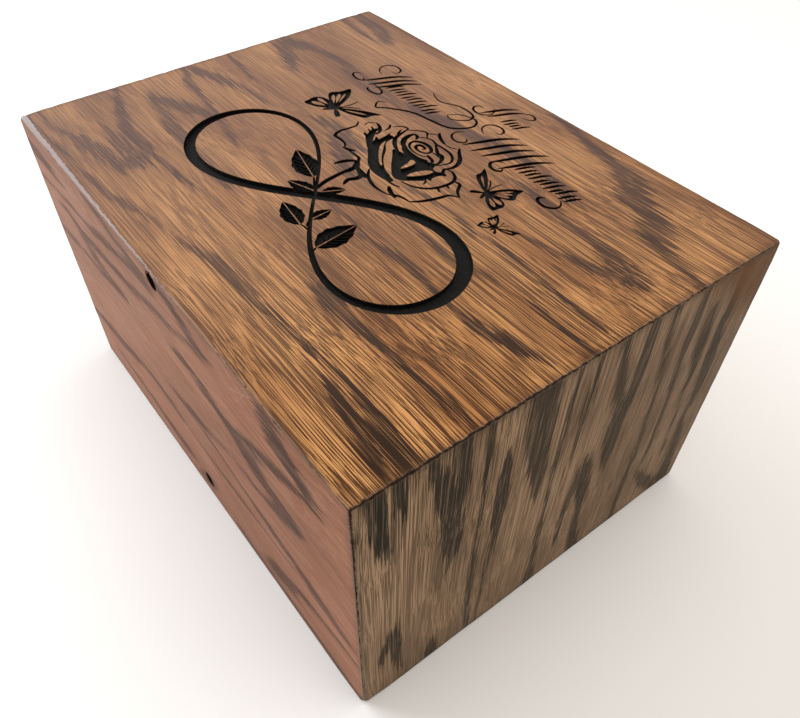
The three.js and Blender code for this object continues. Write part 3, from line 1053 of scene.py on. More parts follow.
    def back(self, corners: "Corners", rim: dict[int, int]) -> list[list[int]]:
        """The four mitred edges and the inner face.

        Args:
            corners: The board's vertices, which the inner ones join.
            rim: The next point after each point on the border.

        Returns:
            The faces.
        """
        away = self.box.board + self.box.setback
        half = np.array([self.width / 2 - away, self.rise / 2 - away])
        turns = [(-1, -1), (1, -1), (1, 1), (-1, 1)]
        inner = []
        for sx, sy in turns:
            spot = self.face + self.side.across * half[0] * sx + self.side.up * half[1] * sy
            inner.append(corners.add(spot - self.side.normal * self.box.board))
        outer = np.array([self.width / 2, self.rise / 2]) - self.box.setback
        ends = [int(np.argmin(np.linalg.norm(corners.flat - outer * turn, axis=1))) for turn in turns]
        made = [inner[::-1]]
        for k in range(4):
            run = [ends[k]]
            while run[-1] != ends[(k + 1) % 4]:
                run.append(rim[run[-1]])
            edge = [corners.at(i, 0.0) for i in run]
            made.append(edge[::-1] + [inner[k], inner[(k + 1) % 4]])
        return made

    def screw_space(self, x: float, height: float) -> bpy.types.Mesh:
        """Makes the space that a screw lies in, from in front of the face to its point.

        Args:
            x: Its axis, along the box.
            height: Its axis, above the floor.

        Returns:
            The closed mesh.
        """
        z = ScrewSizes()
        # radius, and the distance behind the head's front
        profile = [
            (0.0, -z.sunk - 1),
            (z.head, -z.sunk - 1),
            (z.head, z.rim),
            (z.shank, z.rim + z.head - z.shank),
            (z.shank, z.length - z.point),
            (0.0, z.length),
        ]
        mesh = bmesh.new()
        rings = []
        for radius, into in profile:
            y = -self.box.half[1] + z.sunk + into
            count = z.sides if radius else 1
            ring = []
            for k in range(count):
                a = 2 * math.pi * k / count
                spot = Vector((x + radius * math.cos(a), y, height + radius * math.sin(a)))
                ring.append(mesh.verts.new(spot * MM))
            rings.append(ring)
        for one, two in zip(rings[:-1], rings[1:]):
            for k in range(z.sides):
                j = (k + 1) % z.sides
                corners = [one[k % len(one)], one[j % len(one)], two[j % len(two)], two[k % len(two)]]
                mesh.faces.new(list(dict.fromkeys(corners)))
        bmesh.ops.recalc_face_normals(mesh, faces=mesh.faces)
        data = bpy.data.meshes.new("screw_space")
        mesh.to_mesh(data)
        mesh.free()
        return data

    def bore(self, piece: bpy.types.Object, space: bpy.types.Mesh) -> None:
        """Takes a screw's space out of the board.

        Args:
            piece: The board, changed in place.
            space: The space, which isn't kept.
        """
        tool = hang("screw_space", space)
        step = piece.modifiers.new("bore", "BOOLEAN")
        step.operation, step.solver, step.object = "DIFFERENCE", "EXACT", tool
        bpy.context.view_layer.update()
        graph = bpy.context.evaluated_depsgraph_get()
        bored = bpy.data.meshes.new_from_object(piece.evaluated_get(graph))
        piece.modifiers.clear()
        old, piece.data = piece.data, bored
        bpy.data.meshes.remove(old)
        bpy.data.objects.remove(tool)
        bpy.data.meshes.remove(space)
        piece.data.name = self.name

    def write_layers(self, mesh: bpy.types.Mesh) -> None:
        """Writes what the finishes need at each vertex.

        In millimetres, figure is the distance from the dark bands' edges, arris the distance from
        the nearest edge of the face, cut the depth of the carving and of the screw holes near the face,
        seam the distance from the dark glue lines' edges and pale the distance from the edges of the
        painted highlight strips. stain is how far the wood is painted darker and warmer, 1 in the upper
        right corner and falling below zero away from it, and crisp how free the wood is of the painted
        sheen and of its weaker pores, 1 at the near corner and falling towards zero.

        Args:
            mesh: The board's mesh.
        """
        count = len(mesh.vertices)
        flat = np.empty(count * 3)
        mesh.vertices.foreach_get("co", flat)
        spots = flat.reshape(-1, 3) / MM - self.box.middle
        u, v = spots @ self.side.across, spots @ self.side.up
        down = (self.face - spots) @ self.side.normal
        face = np.stack([u, v], 1)
        figure = np.full(count, FAR)
        reach = np.array([self.spread, 1.0] if self.side.grain == "across" else [1.0, self.spread])
        for streak in self.streaks:
            figure = np.minimum(figure, streak.edge_distance(face, reach))
        arris = np.minimum(self.width / 2 - np.abs(u), self.rise / 2 - np.abs(v))
        # the carving is painted black, and so are the screw holes' walls near the face, as painted shade
        least, most = self.blackened_down
        cut = np.where((down > least) & (down < most) & (arris > self.blackened_inset), down, 0)
        edges = (
            (u + self.width / 2, v / self.rise + 0.5),
            (self.width / 2 - u, v / self.rise + 0.5),
            (v + self.rise / 2, u / self.width + 0.5),
            (self.rise / 2 - v, u / self.width + 0.5),
        )
        seam, pale = (self.strip_distance(edges, widths) for widths in (self.seams, self.pale))
        stain = np.full(count, -1.0)
        if all(self.stain):
            stain = 1 - (self.width / 2 - u) / self.stain[0] - (self.rise / 2 - v) / self.stain[1]
        # painted sheen: 1 at the near corner, falling away from it where the sheen is painted on
        near = self.box.half * np.array([1, -1, 1])
        away = np.linalg.norm((spots - near) * self.fade, axis=1)
        sheen_free = 1 / (1 + (away / self.sheen_free_reach) ** 2)
        layers = (
            ("figure", figure), ("arris", arris), ("cut", cut), ("seam", seam), ("pale", pale),
            ("sheen_free", sheen_free), ("stain", stain),
        )
        for name, values in layers:
            layer = mesh.attributes.new(name, "FLOAT", "POINT")
            layer.data.foreach_set("value", values.astype(np.float32))

    @staticmethod
    def strip_distance(
        edges: Sequence[tuple[np.ndarray, np.ndarray]], widths: Sequence[tuple[float, float]]
    ) -> np.ndarray:
        """Distance from the strips that run along the edges of the face, below zero inside them.

        Args:
            edges: For each edge, how far from it and how far along it, from 0 to 1, each spot is.
            widths: Width of each strip at the start and at the end of its edge.

        Returns:
            The distances, in millimetres.
        """
        return np.min(
            [gap - (first + (last - first) * along) for (gap, along), (first, last) in zip(edges, widths)], 0
        )


class Corners:
    """The vertices of one board: the points of its face, at every depth that meets there."""

    def __init__(self, board: Board, flat: np.ndarray, faces: np.ndarray, depth: np.ndarray) -> None:
        """Lays the points on the rounded box and notes which depths meet at each.

        Args:
            board: The board.
            flat: The points of its outer face.
            faces: The triangles between them.
            depth: The depth of each triangle.
        """
        sharp = board.face + np.outer(flat[:, 0], board.side.across) + np.outer(flat[:, 1], board.side.up)
        self.skin = board.arris.rounded(sharp)
        self.normal = board.side.normal
        self.flat = flat
        self.levels: dict[int, set[float]] = {}
        for face, down in zip(faces.tolist(), depth.tolist()):
            for i in face:
                self.levels.setdefault(i, set()).add(down)
        self.places: list[np.ndarray] = []
        self.number: dict[tuple[int, float], int] = {}

    def add(self, spot: np.ndarray) -> int:
        """Adds a vertex and gives its number."""
        self.places.append(spot)
        return len(self.places) - 1

    def at(self, i: int, down: float) -> int:
        """The vertex of a point at a depth, made when it is first asked for.

        Args:
            i: The point.
            down: The depth.

        Returns:
            The vertex's number.
        """
        key = (i, down)
        if key not in self.number:
            on_floor = down > 0 and len(self.levels[i]) == 1
            lower = down + (self.ripple(*self.flat[i]) if on_floor else 0)
            self.number[key] = self.add(self.skin[i] - self.normal * lower)
        return self.number[key]

    @staticmethod
    def ripple(x: float, y: float) -> float:
        """How uneven the floor of the carving is at a place, in millimetres."""
        return 0.07 * math.sin(2.1 * x + 0.7 * y) + 0.05 * math.sin(1.3 * y - 2.9 * x)

    def wall(self, i: int, j: int, high: float, low: float) -> list[int]:
        """A wall between two levels of the carving.

        Args:
            i: First point of the edge, as the higher face runs.
            j: Second point.
            high: Depth of the higher face.
            low: Depth of the lower one.

        Returns:
            The wall's vertices.
        """
        down_i, down_j = (sorted(d for d in self.levels[k] if high <= d <= low) for k in (i, j))
        return [self.at(j, d) for d in down_j[::-1]] + [self.at(i, d) for d in down_i]


# Shader groups


class NodeMaker:
    """Adds and links the nodes of one tree."""

    def __init__(self, tree: bpy.types.NodeTree) -> None:
        """Keeps the tree.

        Args:
            tree: A material's tree or a group's.
        """
        self.tree = tree

    def add(self, kind: str, **settings: object) -> bpy.types.Node:
        """Adds a node.

        Args:
            kind: Its type.
            **settings: Its properties.

        Returns:
            The node.
        """
        node = self.tree.nodes.new(kind)
        for name, value in settings.items():
            setattr(node, name, value)
        return node

    def feed(self, socket: bpy.types.NodeSocket, value: object) -> None:
        """Links a socket to an input, or sets the input's value.

        Args:
            socket: The input.
            value: A socket, number or colour.
        """
        if isinstance(value, bpy.types.NodeSocket):
            self.tree.links.new(value, socket)
        elif value is not None:
            socket.default_value = value

    def math(self, operation: str, *values: object, clamp: bool = False) -> bpy.types.NodeSocket:
        """A Math node.

        Args:
            operation: What it does.
            *values: Its inputs.
            clamp: Whether to keep the result from 0 to 1.

        Returns:
            The result.
        """
        node = self.add("ShaderNodeMath", operation=operation, use_clamp=clamp)
        for socket, value in zip(node.inputs, values):
            self.feed(socket, value)
        return node.outputs[0]

    def mix(self, factor: object, a: object, b: object) -> bpy.types.NodeSocket:
        """Mixes two colours.

        Args:
            factor: How much of the second.
            a: First colour.
            b: Second colour.

        Returns:
            The colour.
        """
        node = self.add("ShaderNodeMix", data_type="RGBA")
        for socket, value in zip((node.inputs[0], node.inputs[6], node.inputs[7]), (factor, a, b)):
            if isinstance(value, tuple) and len(value) == 3:
                value = (*value, 1.0)
            self.feed(socket, value)
        return node.outputs[2]

    def step(self, value: object, low: object, high: object) -> bpy.types.NodeSocket:
        """Eases from 0 to 1 between two values.

        Args:
            value: The value.
            low: Where it starts.
            high: Where it ends.

        Returns:
            The result.
        """
        node = self.add("ShaderNodeMapRange", interpolation_type="SMOOTHSTEP", clamp=True)
        for socket, given in zip(node.inputs, (value, low, high)):
            self.feed(socket, given)
        return node.outputs[0]

    def stretch(self, vector: object, scale: tuple, shift: tuple = (0, 0, 0)) -> bpy.types.NodeSocket:
        """Scales and shifts coordinates.

        Args:
            vector: The coordinates.
            scale: Scale on each axis.
            shift: Shift on each axis.

        Returns:
            The coordinates.
        """
        node = self.add("ShaderNodeMapping")
        self.feed(node.inputs["Vector"], vector)
        node.inputs["Scale"].default_value = scale
        node.inputs["Location"].default_value = shift
        return node.outputs[0]

    def noise(self, vector: object, detail: float = 3, roughness: float = 0.55) -> bpy.types.NodeSocket:
        """Noise at scale 1, from 0 to 1.

        Args:
            vector: Where it is read.
            detail: Octaves.
            roughness: Strength of the finer ones.

        Returns:
            The noise.
        """
        node = self.add("ShaderNodeTexNoise")
        self.feed(node.inputs["Vector"], vector)
        node.inputs["Scale"].default_value = 1
        node.inputs["Detail"].default_value = detail
        node.inputs["Roughness"].default_value = roughness
        return node.outputs[0]

    def mark(self, name: str) -> bpy.types.NodeSocket:
        """A layer that the boards carry at their vertices.

        Args:
            name: The layer.

        Returns:
            Its value.
        """
        return self.add("ShaderNodeAttribute", attribute_name=name).outputs["Fac"]

    def group(self, name: str, **values: object) -> bpy.types.Node:
        """Adds one of the shader groups.

        Args:
            name: The group.
            **values: Its inputs.

        Returns:
            The group's node.
        """
        node = self.add("ShaderNodeGroup", node_tree=bpy.data.node_groups[name])
        for label, value in values.items():
            self.feed(node.inputs[label], value)
        return node


SOCKETS = {"value": "NodeSocketFloat", "colour": "NodeSocketColor", "vector": "NodeSocketVector"}


def shader_group(
    name: str, inputs: Sequence[tuple[str, str, object]], outputs: Sequence[tuple[str, str]]
) -> tuple[bpy.types.NodeTree, NodeMaker, dict[str, bpy.types.NodeSocket], bpy.types.Node]:
    """Starts a shader node group.

    Args:
        name: Its name.
        inputs: Name, kind and default of each input.
        outputs: Name and kind of each output.

    Returns:
        The group, its node maker, its inputs by name and its output node.
    """
    tree = bpy.data.node_groups.new(name, "ShaderNodeTree")
    for label, kind, start in inputs:
        socket = tree.interface.new_socket(name=label, in_out="INPUT", socket_type=SOCKETS[kind])
        if start is not None:
            socket.default_value = start
    for label, kind in outputs:
        tree.interface.new_socket(name=label, in_out="OUTPUT", socket_type=SOCKETS[kind])
    maker = NodeMaker(tree)
    way_in, way_out = maker.add("NodeGroupInput"), maker.add("NodeGroupOutput")
    return tree, maker, {s.name: s for s in way_in.outputs if s.name}, way_out


def grain_group() -> bpy.types.NodeTree:
    """Grain coordinates: metres on the piece to millimetres with X along the grain.

    Returns:
        The group.
    """
    tree, n, given, out = shader_group(
        "Grain coordinates",
        [("Upright", "value", 0.0)],
        [("Along", "vector")],
    )
    place_in = n.add("ShaderNodeTexCoord")
    parts = n.add("ShaderNodeSeparateXYZ")
    n.feed(parts.inputs[0], n.stretch(place_in.outputs["Object"], (1000, 1000, 1000)))
    level = n.add("ShaderNodeCombineXYZ")
    turned = n.add("ShaderNodeCombineXYZ")
    for target, order in ((level, (0, 1, 2)), (turned, (2, 1, 0))):
        for socket, axis in zip(target.inputs, order):
            n.feed(socket, parts.outputs[axis])
    pick = n.add("ShaderNodeMix", data_type="VECTOR")
    for socket, value in zip(
        (pick.inputs[0], pick.inputs[4], pick.inputs[5]),
        (given["Upright"], level.outputs[0], turned.outputs[0]),
    ):
        n.feed(socket, value)
    n.feed(out.inputs["Along"], pick.outputs[1])
    return tree


def pores_group() -> bpy.types.NodeTree:
    """Open pores: fine dark lines along the grain, crowded inside the dark bands.

    Returns:
        The group.
    """
    tree, n, given, out = shader_group(
        "Oak pores",
        [("Along", "vector", None), ("Crowding", "value", 0.0)],
        [("Pores", "value"), ("Fibre", "value")],
    )
    wide_share = 0.62  # of the wide pores, beside the thin ones
    opening = 0.492  # noise above which a pore shows
    crowd = 0.055  # how far the dark bands lower that
    patchy = 0.16  # and slow patches
    bend = n.noise(n.stretch(given["Along"], (0.012, 0.02, 0.02)), 1)
    shifted = n.add("ShaderNodeVectorMath", operation="MULTIPLY_ADD")
    n.feed(shifted.inputs[0], bend)
    shifted.inputs[1].default_value = (0, 5, 5)
    n.feed(shifted.inputs[2], given["Along"])
    line = shifted.outputs[0]
    wide = n.noise(n.stretch(line, (0.02, 2.4, 2.4)), 1, 0.5)
    thin = n.noise(n.stretch(line, (0.04, 4.6, 4.6), (31, 7, 3)), 1, 0.55)
    both = n.math("ADD", n.math("MULTIPLY", wide, wide_share), n.math("MULTIPLY", thin, 1 - wide_share))
    patch = n.noise(n.stretch(given["Along"], (0.02, 0.12, 0.12), (7, 3, 5)), 2)
    low = n.math("MULTIPLY_ADD", given["Crowding"], -crowd, opening)
    low = n.math("MULTIPLY_ADD", n.math("SUBTRACT", patch, 0.5), -patchy, low)
    n.feed(out.inputs["Pores"], n.step(both, n.math("SUBTRACT", low, 0.016), n.math("ADD", low, 0.022)))
    n.feed(out.inputs["Fibre"], n.noise(n.stretch(line, (0.05, 3.4, 3.4), (5, 11, 2)), 4, 0.65))
    return tree


def figure_group() -> bpy.types.NodeTree:
    """The dark figure: bands with edges that run out in fingers along the grain.

    Returns:
        The group.
    """
    tree, n, given, out = shader_group(
        "Oak figure",
        [("Along", "vector", None), ("Fray", "value", 1.0)],
        [("Bands", "value"), ("Halo", "value")],
    )
    finger = 9.0  # millimetres that the fingers reach, for noise from 0 to 1
    wander = 4.0  # and the edge as a whole
    fingers = n.noise(n.stretch(given["Along"], (0.045, 1.3, 1.3)), 3, 0.6)
    slow = n.noise(n.stretch(given["Along"], (0.02, 0.1, 0.1), (3, 9, 1)), 2)
    edge = n.math("SUBTRACT", fingers, 0.5)
    edge = n.math("MULTIPLY_ADD", edge, n.math("MULTIPLY", given["Fray"], finger), n.mark("figure"))
    edge = n.math("MULTIPLY_ADD", n.math("SUBTRACT", slow, 0.5), wander, edge)
    n.feed(out.inputs["Bands"], n.step(edge, 0.5, -0.4))
    n.feed(out.inputs["Halo"], n.step(edge, 5.0, -0.5))
    return tree


def tone_group() -> bpy.types.NodeTree:
    """Slow, uneven tone over the wood.

    Returns:
        The group.
    """
    tree, n, given, out = shader_group(
        "Wood tone",
        [("Along", "vector", None)],
        [("Tone", "value"), ("Cloud", "value")],
    )
    n.feed(out.inputs["Tone"], n.noise(n.stretch(given["Along"], (0.011, 0.035, 0.035)), 3))
    n.feed(out.inputs["Cloud"], n.noise(n.stretch(given["Along"], (0.03, 0.06, 0.06), (40, 2, 9)), 4))
    return tree


def arris_group() -> bpy.types.NodeTree:
    """Dark glue lines, darker wood beside them, rubbed wood and pale strips along the edges of a face; the
    pale strips are a painted highlight on the rounded edges, with a little wear in them.

    Returns:
        The group.
    """
    tree, n, given, out = shader_group(
        "Edge wear",
        [("Along", "vector", None), ("Rub", "value", 1.6)],
        [("Seam", "value"), ("Near seam", "value"), ("Rub", "value"), ("Pale", "value")],
    )
    wander = 2.2  # millimetres that the lines and strips stray, for noise from 0 to 1
    rub_wander = 1.2
    ragged = n.math("SUBTRACT", n.noise(n.stretch(given["Along"], (0.45, 0.45, 0.45)), 4, 0.65), 0.5)
    edge = n.math("MULTIPLY_ADD", ragged, wander, n.mark("seam"))
    n.feed(out.inputs["Seam"], n.step(edge, 0.35, -0.35))
    # darker wood within about 4 mm of the glue lines
    n.feed(out.inputs["Near seam"], n.step(edge, 4.0, -0.5))
    rubbed = n.math("MULTIPLY_ADD", ragged, rub_wander, n.mark("arris"))
    n.feed(out.inputs["Rub"], n.step(rubbed, given["Rub"], 0.2))
    # painted highlight strips on the rounded edges, with a little wear in them
    wear_and_highlight = n.math("MULTIPLY_ADD", ragged, wander, n.mark("pale"))
    n.feed(out.inputs["Pale"], n.step(wear_and_highlight, 0.35, -0.2))
    return tree


def scratch_group() -> bpy.types.NodeTree:
    """One thin scratch between two points.

    Returns:
        The group.
    """
    tree, n, given, out = shader_group(
        "Scratch",
        [
            ("Along", "vector", None),
            ("Start", "vector", None),
            ("End", "vector", None),
            ("Width", "value", 0.16),
        ],
        [("Scratch", "value")],
    )

    def vector(operation: str, *values: object) -> bpy.types.NodeSocket:
        """A Vector Math node.

        Args:
            operation: What it does.
            *values: Its inputs.

        Returns:
            The result, a number for a dot product or a distance.
        """
        node = n.add("ShaderNodeVectorMath", operation=operation)
        for socket, value in zip(node.inputs, values):
            n.feed(socket, value)
        return node.outputs["Value" if operation in ("DOT_PRODUCT", "DISTANCE") else "Vector"]

    run = vector("SUBTRACT", given["End"], given["Start"])
    gone = vector("SUBTRACT", given["Along"], given["Start"])
    part = n.math("DIVIDE", vector("DOT_PRODUCT", gone, run), vector("DOT_PRODUCT", run, run), clamp=True)
    scaled = n.add("ShaderNodeVectorMath", operation="SCALE")
    n.feed(scaled.inputs[0], run)
    n.feed(scaled.inputs["Scale"], part)
    near = vector("ADD", given["Start"], scaled.outputs[0])
    gap = vector("DISTANCE", given["Along"], near)
    wear_and_highlight = n.step(n.noise(n.stretch(given["Along"], (0.7, 0.7, 0.7)), 3, 0.6), 0.42, 0.56)
    edge = n.step(gap, n.math("MULTIPLY", given["Width"], 1.7), n.math("MULTIPLY", given["Width"], 0.4))
    n.feed(out.inputs["Scratch"], n.math("MULTIPLY", edge, wear_and_highlight))
    return tree


def paint_and_hole_shade_group() -> bpy.types.NodeTree:
    """The dark, matt inside of the carving, which is painted black, and of the screw holes near the face,
    whose black is painted shade.

    Returns:
        The group.
    """
    tree, n, given, out = shader_group(
        "Carved paint and hole shade", [("Along", "vector", None)], [("Paint", "value"), ("Grit", "value")]
    )
    n.feed(out.inputs["Paint"], n.step(n.mark("cut"), 0.04, 0.3))
    n.feed(out.inputs["Grit"], n.noise(n.stretch(given["Along"], (0.5, 1.4, 1.4)), 4, 0.7))
    return tree


GROUPS = (
    grain_group, pores_group, figure_group, tone_group, arris_group, scratch_group, paint_and_hole_shade_group,
)


# Finishes


def start_material(name: str) -> tuple[bpy.types.Material, NodeMaker, bpy.types.Node]:
    """Starts a material.

    Args:
        name: Its name.

    Returns:
        The material, its node maker and its shader.
    """
    material = bpy.data.materials.new(name)
    material.use_nodes = True
    return material, NodeMaker(material.node_tree), material.node_tree.nodes["Principled BSDF"]


@dataclass(frozen=True)
class OakFinish:
    """Lacquered oak: the colours of its wood, bands and pores, and its gloss.

    Each depth is how fully a colour covers what lies under it, 1 for the whole. calm_pores is
    the share of the pores' strength that is left far from the near corner, and haze the colour
    that dulls and greys the wood there: both make a painted sheen, the glare that lies over the
    wood away from the near corner. relief is in millimetres. Each scratch has two ends, across and
    up on the face in millimetres.
    """

    name: str
    light: Colour
    deep: Colour
    band: Colour
    pore: Colour
    upright: bool = False
    band_depth: float = 0.85
    pore_depth: float = 0.8
    # calm_pores and the haze colour below make a painted sheen: weaker pores and a greyish cast away from the
    # near corner
    calm_pores: float = 0.4
    band_line: Colour = (0.022, 0.009, 0.004)
    painted_sheen: Colour = (0.3, 0.2, 0.145)
    painted_sheen_depth: float = 0.4
    rub_colour: Colour = (0.5, 0.42, 0.36)
    rub_depth: float = 0.2
    roughness: float = 0.4
    gloss: float = 0.2
    coat: float = 0.12
    coat_roughness: float = 0.28
    fray: float = 1.0
    relief: float = 0.16
    bump_strength: float = 0.6
    fibre_depth: float = 0.3
    halo_depth: float = 0.35
    near_seam_depth: float = 0.45
    seam_colour: Colour = (0.02, 0.011, 0.006)
    # pale_colour paints the highlight strips on the rounded edges, and the scratches
    pale_colour: Colour = (0.52, 0.47, 0.49)
    pale_depth: float = 0.75
    scratches: Sequence[tuple[tuple[float, float], tuple[float, float]]] = ()
    scratch_depth: float = 0.6
    # the colour and depth with which the wood is painted darker and warmer towards a corner
    stain_colour: Colour = (0.135, 0.056, 0.014)
    stain_depth: float = 0.92
    # black of the carving, and black as painted shade on the screw holes' walls
    paint_and_shade_colours: tuple[Colour, Colour] = ((0.003, 0.003, 0.003), (0.012, 0.011, 0.01))
    pore_hollow: float = 0.8
    grit_height: float = 1.6

    def dress(self, front: float) -> bpy.types.Material:
        """Makes the material.

        Args:
            front: Where the front face is, from the middle of the box, for its scratches.

        Returns:
            The material.
        """
        material, n, shader = start_material(self.name)
        grain = n.group("Grain coordinates", Upright=1.0 if self.upright else 0.0)
        along = grain.outputs["Along"]
        figure = n.group("Oak figure", Along=along, Fray=self.fray)
        pores = n.group("Oak pores", Along=along, Crowding=figure.outputs["Bands"])
        tone = n.group("Wood tone", Along=along)
        wear = n.group("Edge wear", Along=along)
        carved = n.group("Carved paint and hole shade", Along=along)
        # this mask is the black of the carving and, on the screw holes' walls, painted shade
        lines, paint = pores.outputs["Pores"], carved.outputs["Paint"]
        # painted sheen: away from the near corner the pores are painted weaker
        sheen_free = n.mark("sheen_free")
        pores_under_sheen = n.math("MULTIPLY_ADD", sheen_free, 1 - self.calm_pores, self.calm_pores)

        def over(wood: object, mask: object, depth: float, colour: object) -> bpy.types.NodeSocket:
            """Lays a colour over the wood where a mask is, as fully as its depth says."""
            return n.mix(n.math("MULTIPLY", mask, depth), wood, colour)

        wood = n.mix(n.step(tone.outputs["Tone"], 0.35, 0.66), self.light, self.deep)
        wood = over(wood, n.step(pores.outputs["Fibre"], 0.38, 0.66), self.fibre_depth, self.deep)
        wood = over(wood, figure.outputs["Halo"], self.halo_depth, self.deep)
        wood = self.grain_bands(n, wood, figure.outputs["Bands"], lines, tone.outputs["Cloud"])
        shown = n.math("MULTIPLY", lines, n.math("MULTIPLY", pores_under_sheen, self.pore_depth))
        wood = n.mix(shown, wood, n.mix(figure.outputs["Bands"], self.pore, self.band_line))
        # and a greyish cast is laid over the wood there, a painted sheen
        sheen_amount = n.math("MULTIPLY_ADD", sheen_free, -self.painted_sheen_depth, self.painted_sheen_depth)
        wood = n.mix(sheen_amount, wood, self.painted_sheen)
        # darker and warmer towards the upper right corner of a face where a reach is given
        warm = n.math("MULTIPLY_ADD", tone.outputs["Cloud"], 0.4, n.math("SUBTRACT", n.mark("stain"), 0.2))
        wood = over(wood, n.step(warm, 0.0, 0.5), self.stain_depth, self.stain_colour)
        wood = over(wood, wear.outputs["Rub"], self.rub_depth, self.rub_colour)
        # painted highlight strips on the rounded edges
        wood = over(wood, wear.outputs["Pale"], self.pale_depth, self.pale_colour)
        for ends in self.scratches:
            start, end = ((x, front, height) for x, height in ends)
            scratch = n.group("Scratch", Along=along, Start=start, End=end)
            wood = over(wood, scratch.outputs["Scratch"], self.scratch_depth, self.pale_colour)
        # darker wood near the glue lines
        wood = over(wood, wear.outputs["Near seam"], self.near_seam_depth, self.pore)
        wood = n.mix(wear.outputs["Seam"], wood, self.seam_colour)
        # black in the carving, and on the screw holes' walls as painted shade
        black = n.mix(n.step(carved.outputs["Grit"], 0.4, 0.75), *self.paint_and_shade_colours)
        n.feed(shader.inputs["Base Color"], n.mix(paint, wood, black))

        dull = n.math("MULTIPLY_ADD", lines, 0.18, self.roughness)
        dull = n.math("MULTIPLY_ADD", tone.outputs["Cloud"], 0.12, dull)
        dull = n.math("MULTIPLY_ADD", wear.outputs["Seam"], 0.3, dull, clamp=True)
        n.feed(shader.inputs["Roughness"], dull)
        shader.inputs["Specular IOR Level"].default_value = self.gloss
        shader.inputs["Coat Weight"].default_value = self.coat
        shader.inputs["Coat Roughness"].default_value = self.coat_roughness

        hollow = n.math("MULTIPLY", n.math("MULTIPLY", lines, pores_under_sheen), -self.pore_hollow)
        rise = n.math("MULTIPLY_ADD", pores.outputs["Fibre"], 0.3, hollow)
        gritty = n.math("MULTIPLY", paint, self.grit_height)
        rise = n.math("MULTIPLY_ADD", carved.outputs["Grit"], gritty, rise)
        bump = n.add("ShaderNodeBump")
        bump.inputs["Strength"].default_value = self.bump_strength
        bump.inputs["Distance"].default_value = self.relief * MM
        n.feed(bump.inputs["Height"], rise)
        n.feed(shader.inputs["Normal"], bump.outputs[0])
        return material

    def grain_bands(
        self,
        n: NodeMaker,
        wood: object,
        bands: bpy.types.NodeSocket,
        lines: bpy.types.NodeSocket,
        cloud: bpy.types.NodeSocket,
    ) -> bpy.types.NodeSocket:
        """Lays the dark bands over the wood, weaker in places and between the pore lines.

        Args:
            n: The material's node maker.
            wood: Colour of the wood.
            bands: Where the bands are.
            lines: Where the pores are.
            cloud: Slow unevenness, low where the bands are weaker.

        Returns:
            The colour.
        """
        uneven = 0.2
        strength = n.math("MULTIPLY_ADD", n.step(cloud, 0.3, 0.62), uneven, self.band_depth - uneven)
        strength = n.math("MULTIPLY", strength, n.math("MULTIPLY_ADD", lines, 0.26, 0.76), clamp=True)
        return n.mix(n.math("MULTIPLY", bands, strength), wood, self.band)


@dataclass(frozen=True)
class BrassFinish:
    """Dull pale brass of the screws, with dark grime in patches."""

    name: str = "dull brass"
    bright: Colour = (0.86, 0.76, 0.56)
    grimy: Colour = (0.3, 0.24, 0.16)
    metallic: float = 0.2

    def dress(self) -> bpy.types.Material:
        """Makes the material.

        Returns:
            The material.
        """
        material, n, shader = start_material(self.name)
        grain = n.group("Grain coordinates")
        spots = n.noise(n.stretch(grain.outputs["Along"], (0.8, 0.8, 0.8)), 5, 0.65)
        n.feed(shader.inputs["Base Color"], n.mix(n.step(spots, 0.42, 0.62), self.bright, self.grimy))
        n.feed(shader.inputs["Roughness"], n.math("MULTIPLY_ADD", spots, 0.4, 0.3))
        shader.inputs["Metallic"].default_value = self.metallic
        return material


@dataclass(frozen=True)
class FloorFinish:
    """A plain pale floor, barely uneven in tone."""

    name: str = "pale floor"
    colour: Colour = (0.88, 0.87, 0.86)
    shade: Colour = (0.84, 0.83, 0.82)
    roughness: float = 0.75

    def dress(self) -> bpy.types.Material:
        """Makes the material.

        Returns:
            The material.
        """
        material, n, shader = start_material(self.name)
        grain = n.group("Grain coordinates")
        cloud = n.noise(n.stretch(grain.outputs["Along"], (0.004, 0.004, 0.004)), 2)
        n.feed(shader.inputs["Base Color"], n.mix(cloud, self.colour, self.shade))
        shader.inputs["Roughness"].default_value = self.roughness
        return material


# Figure of each face, points as (across, up, width) in millimetres

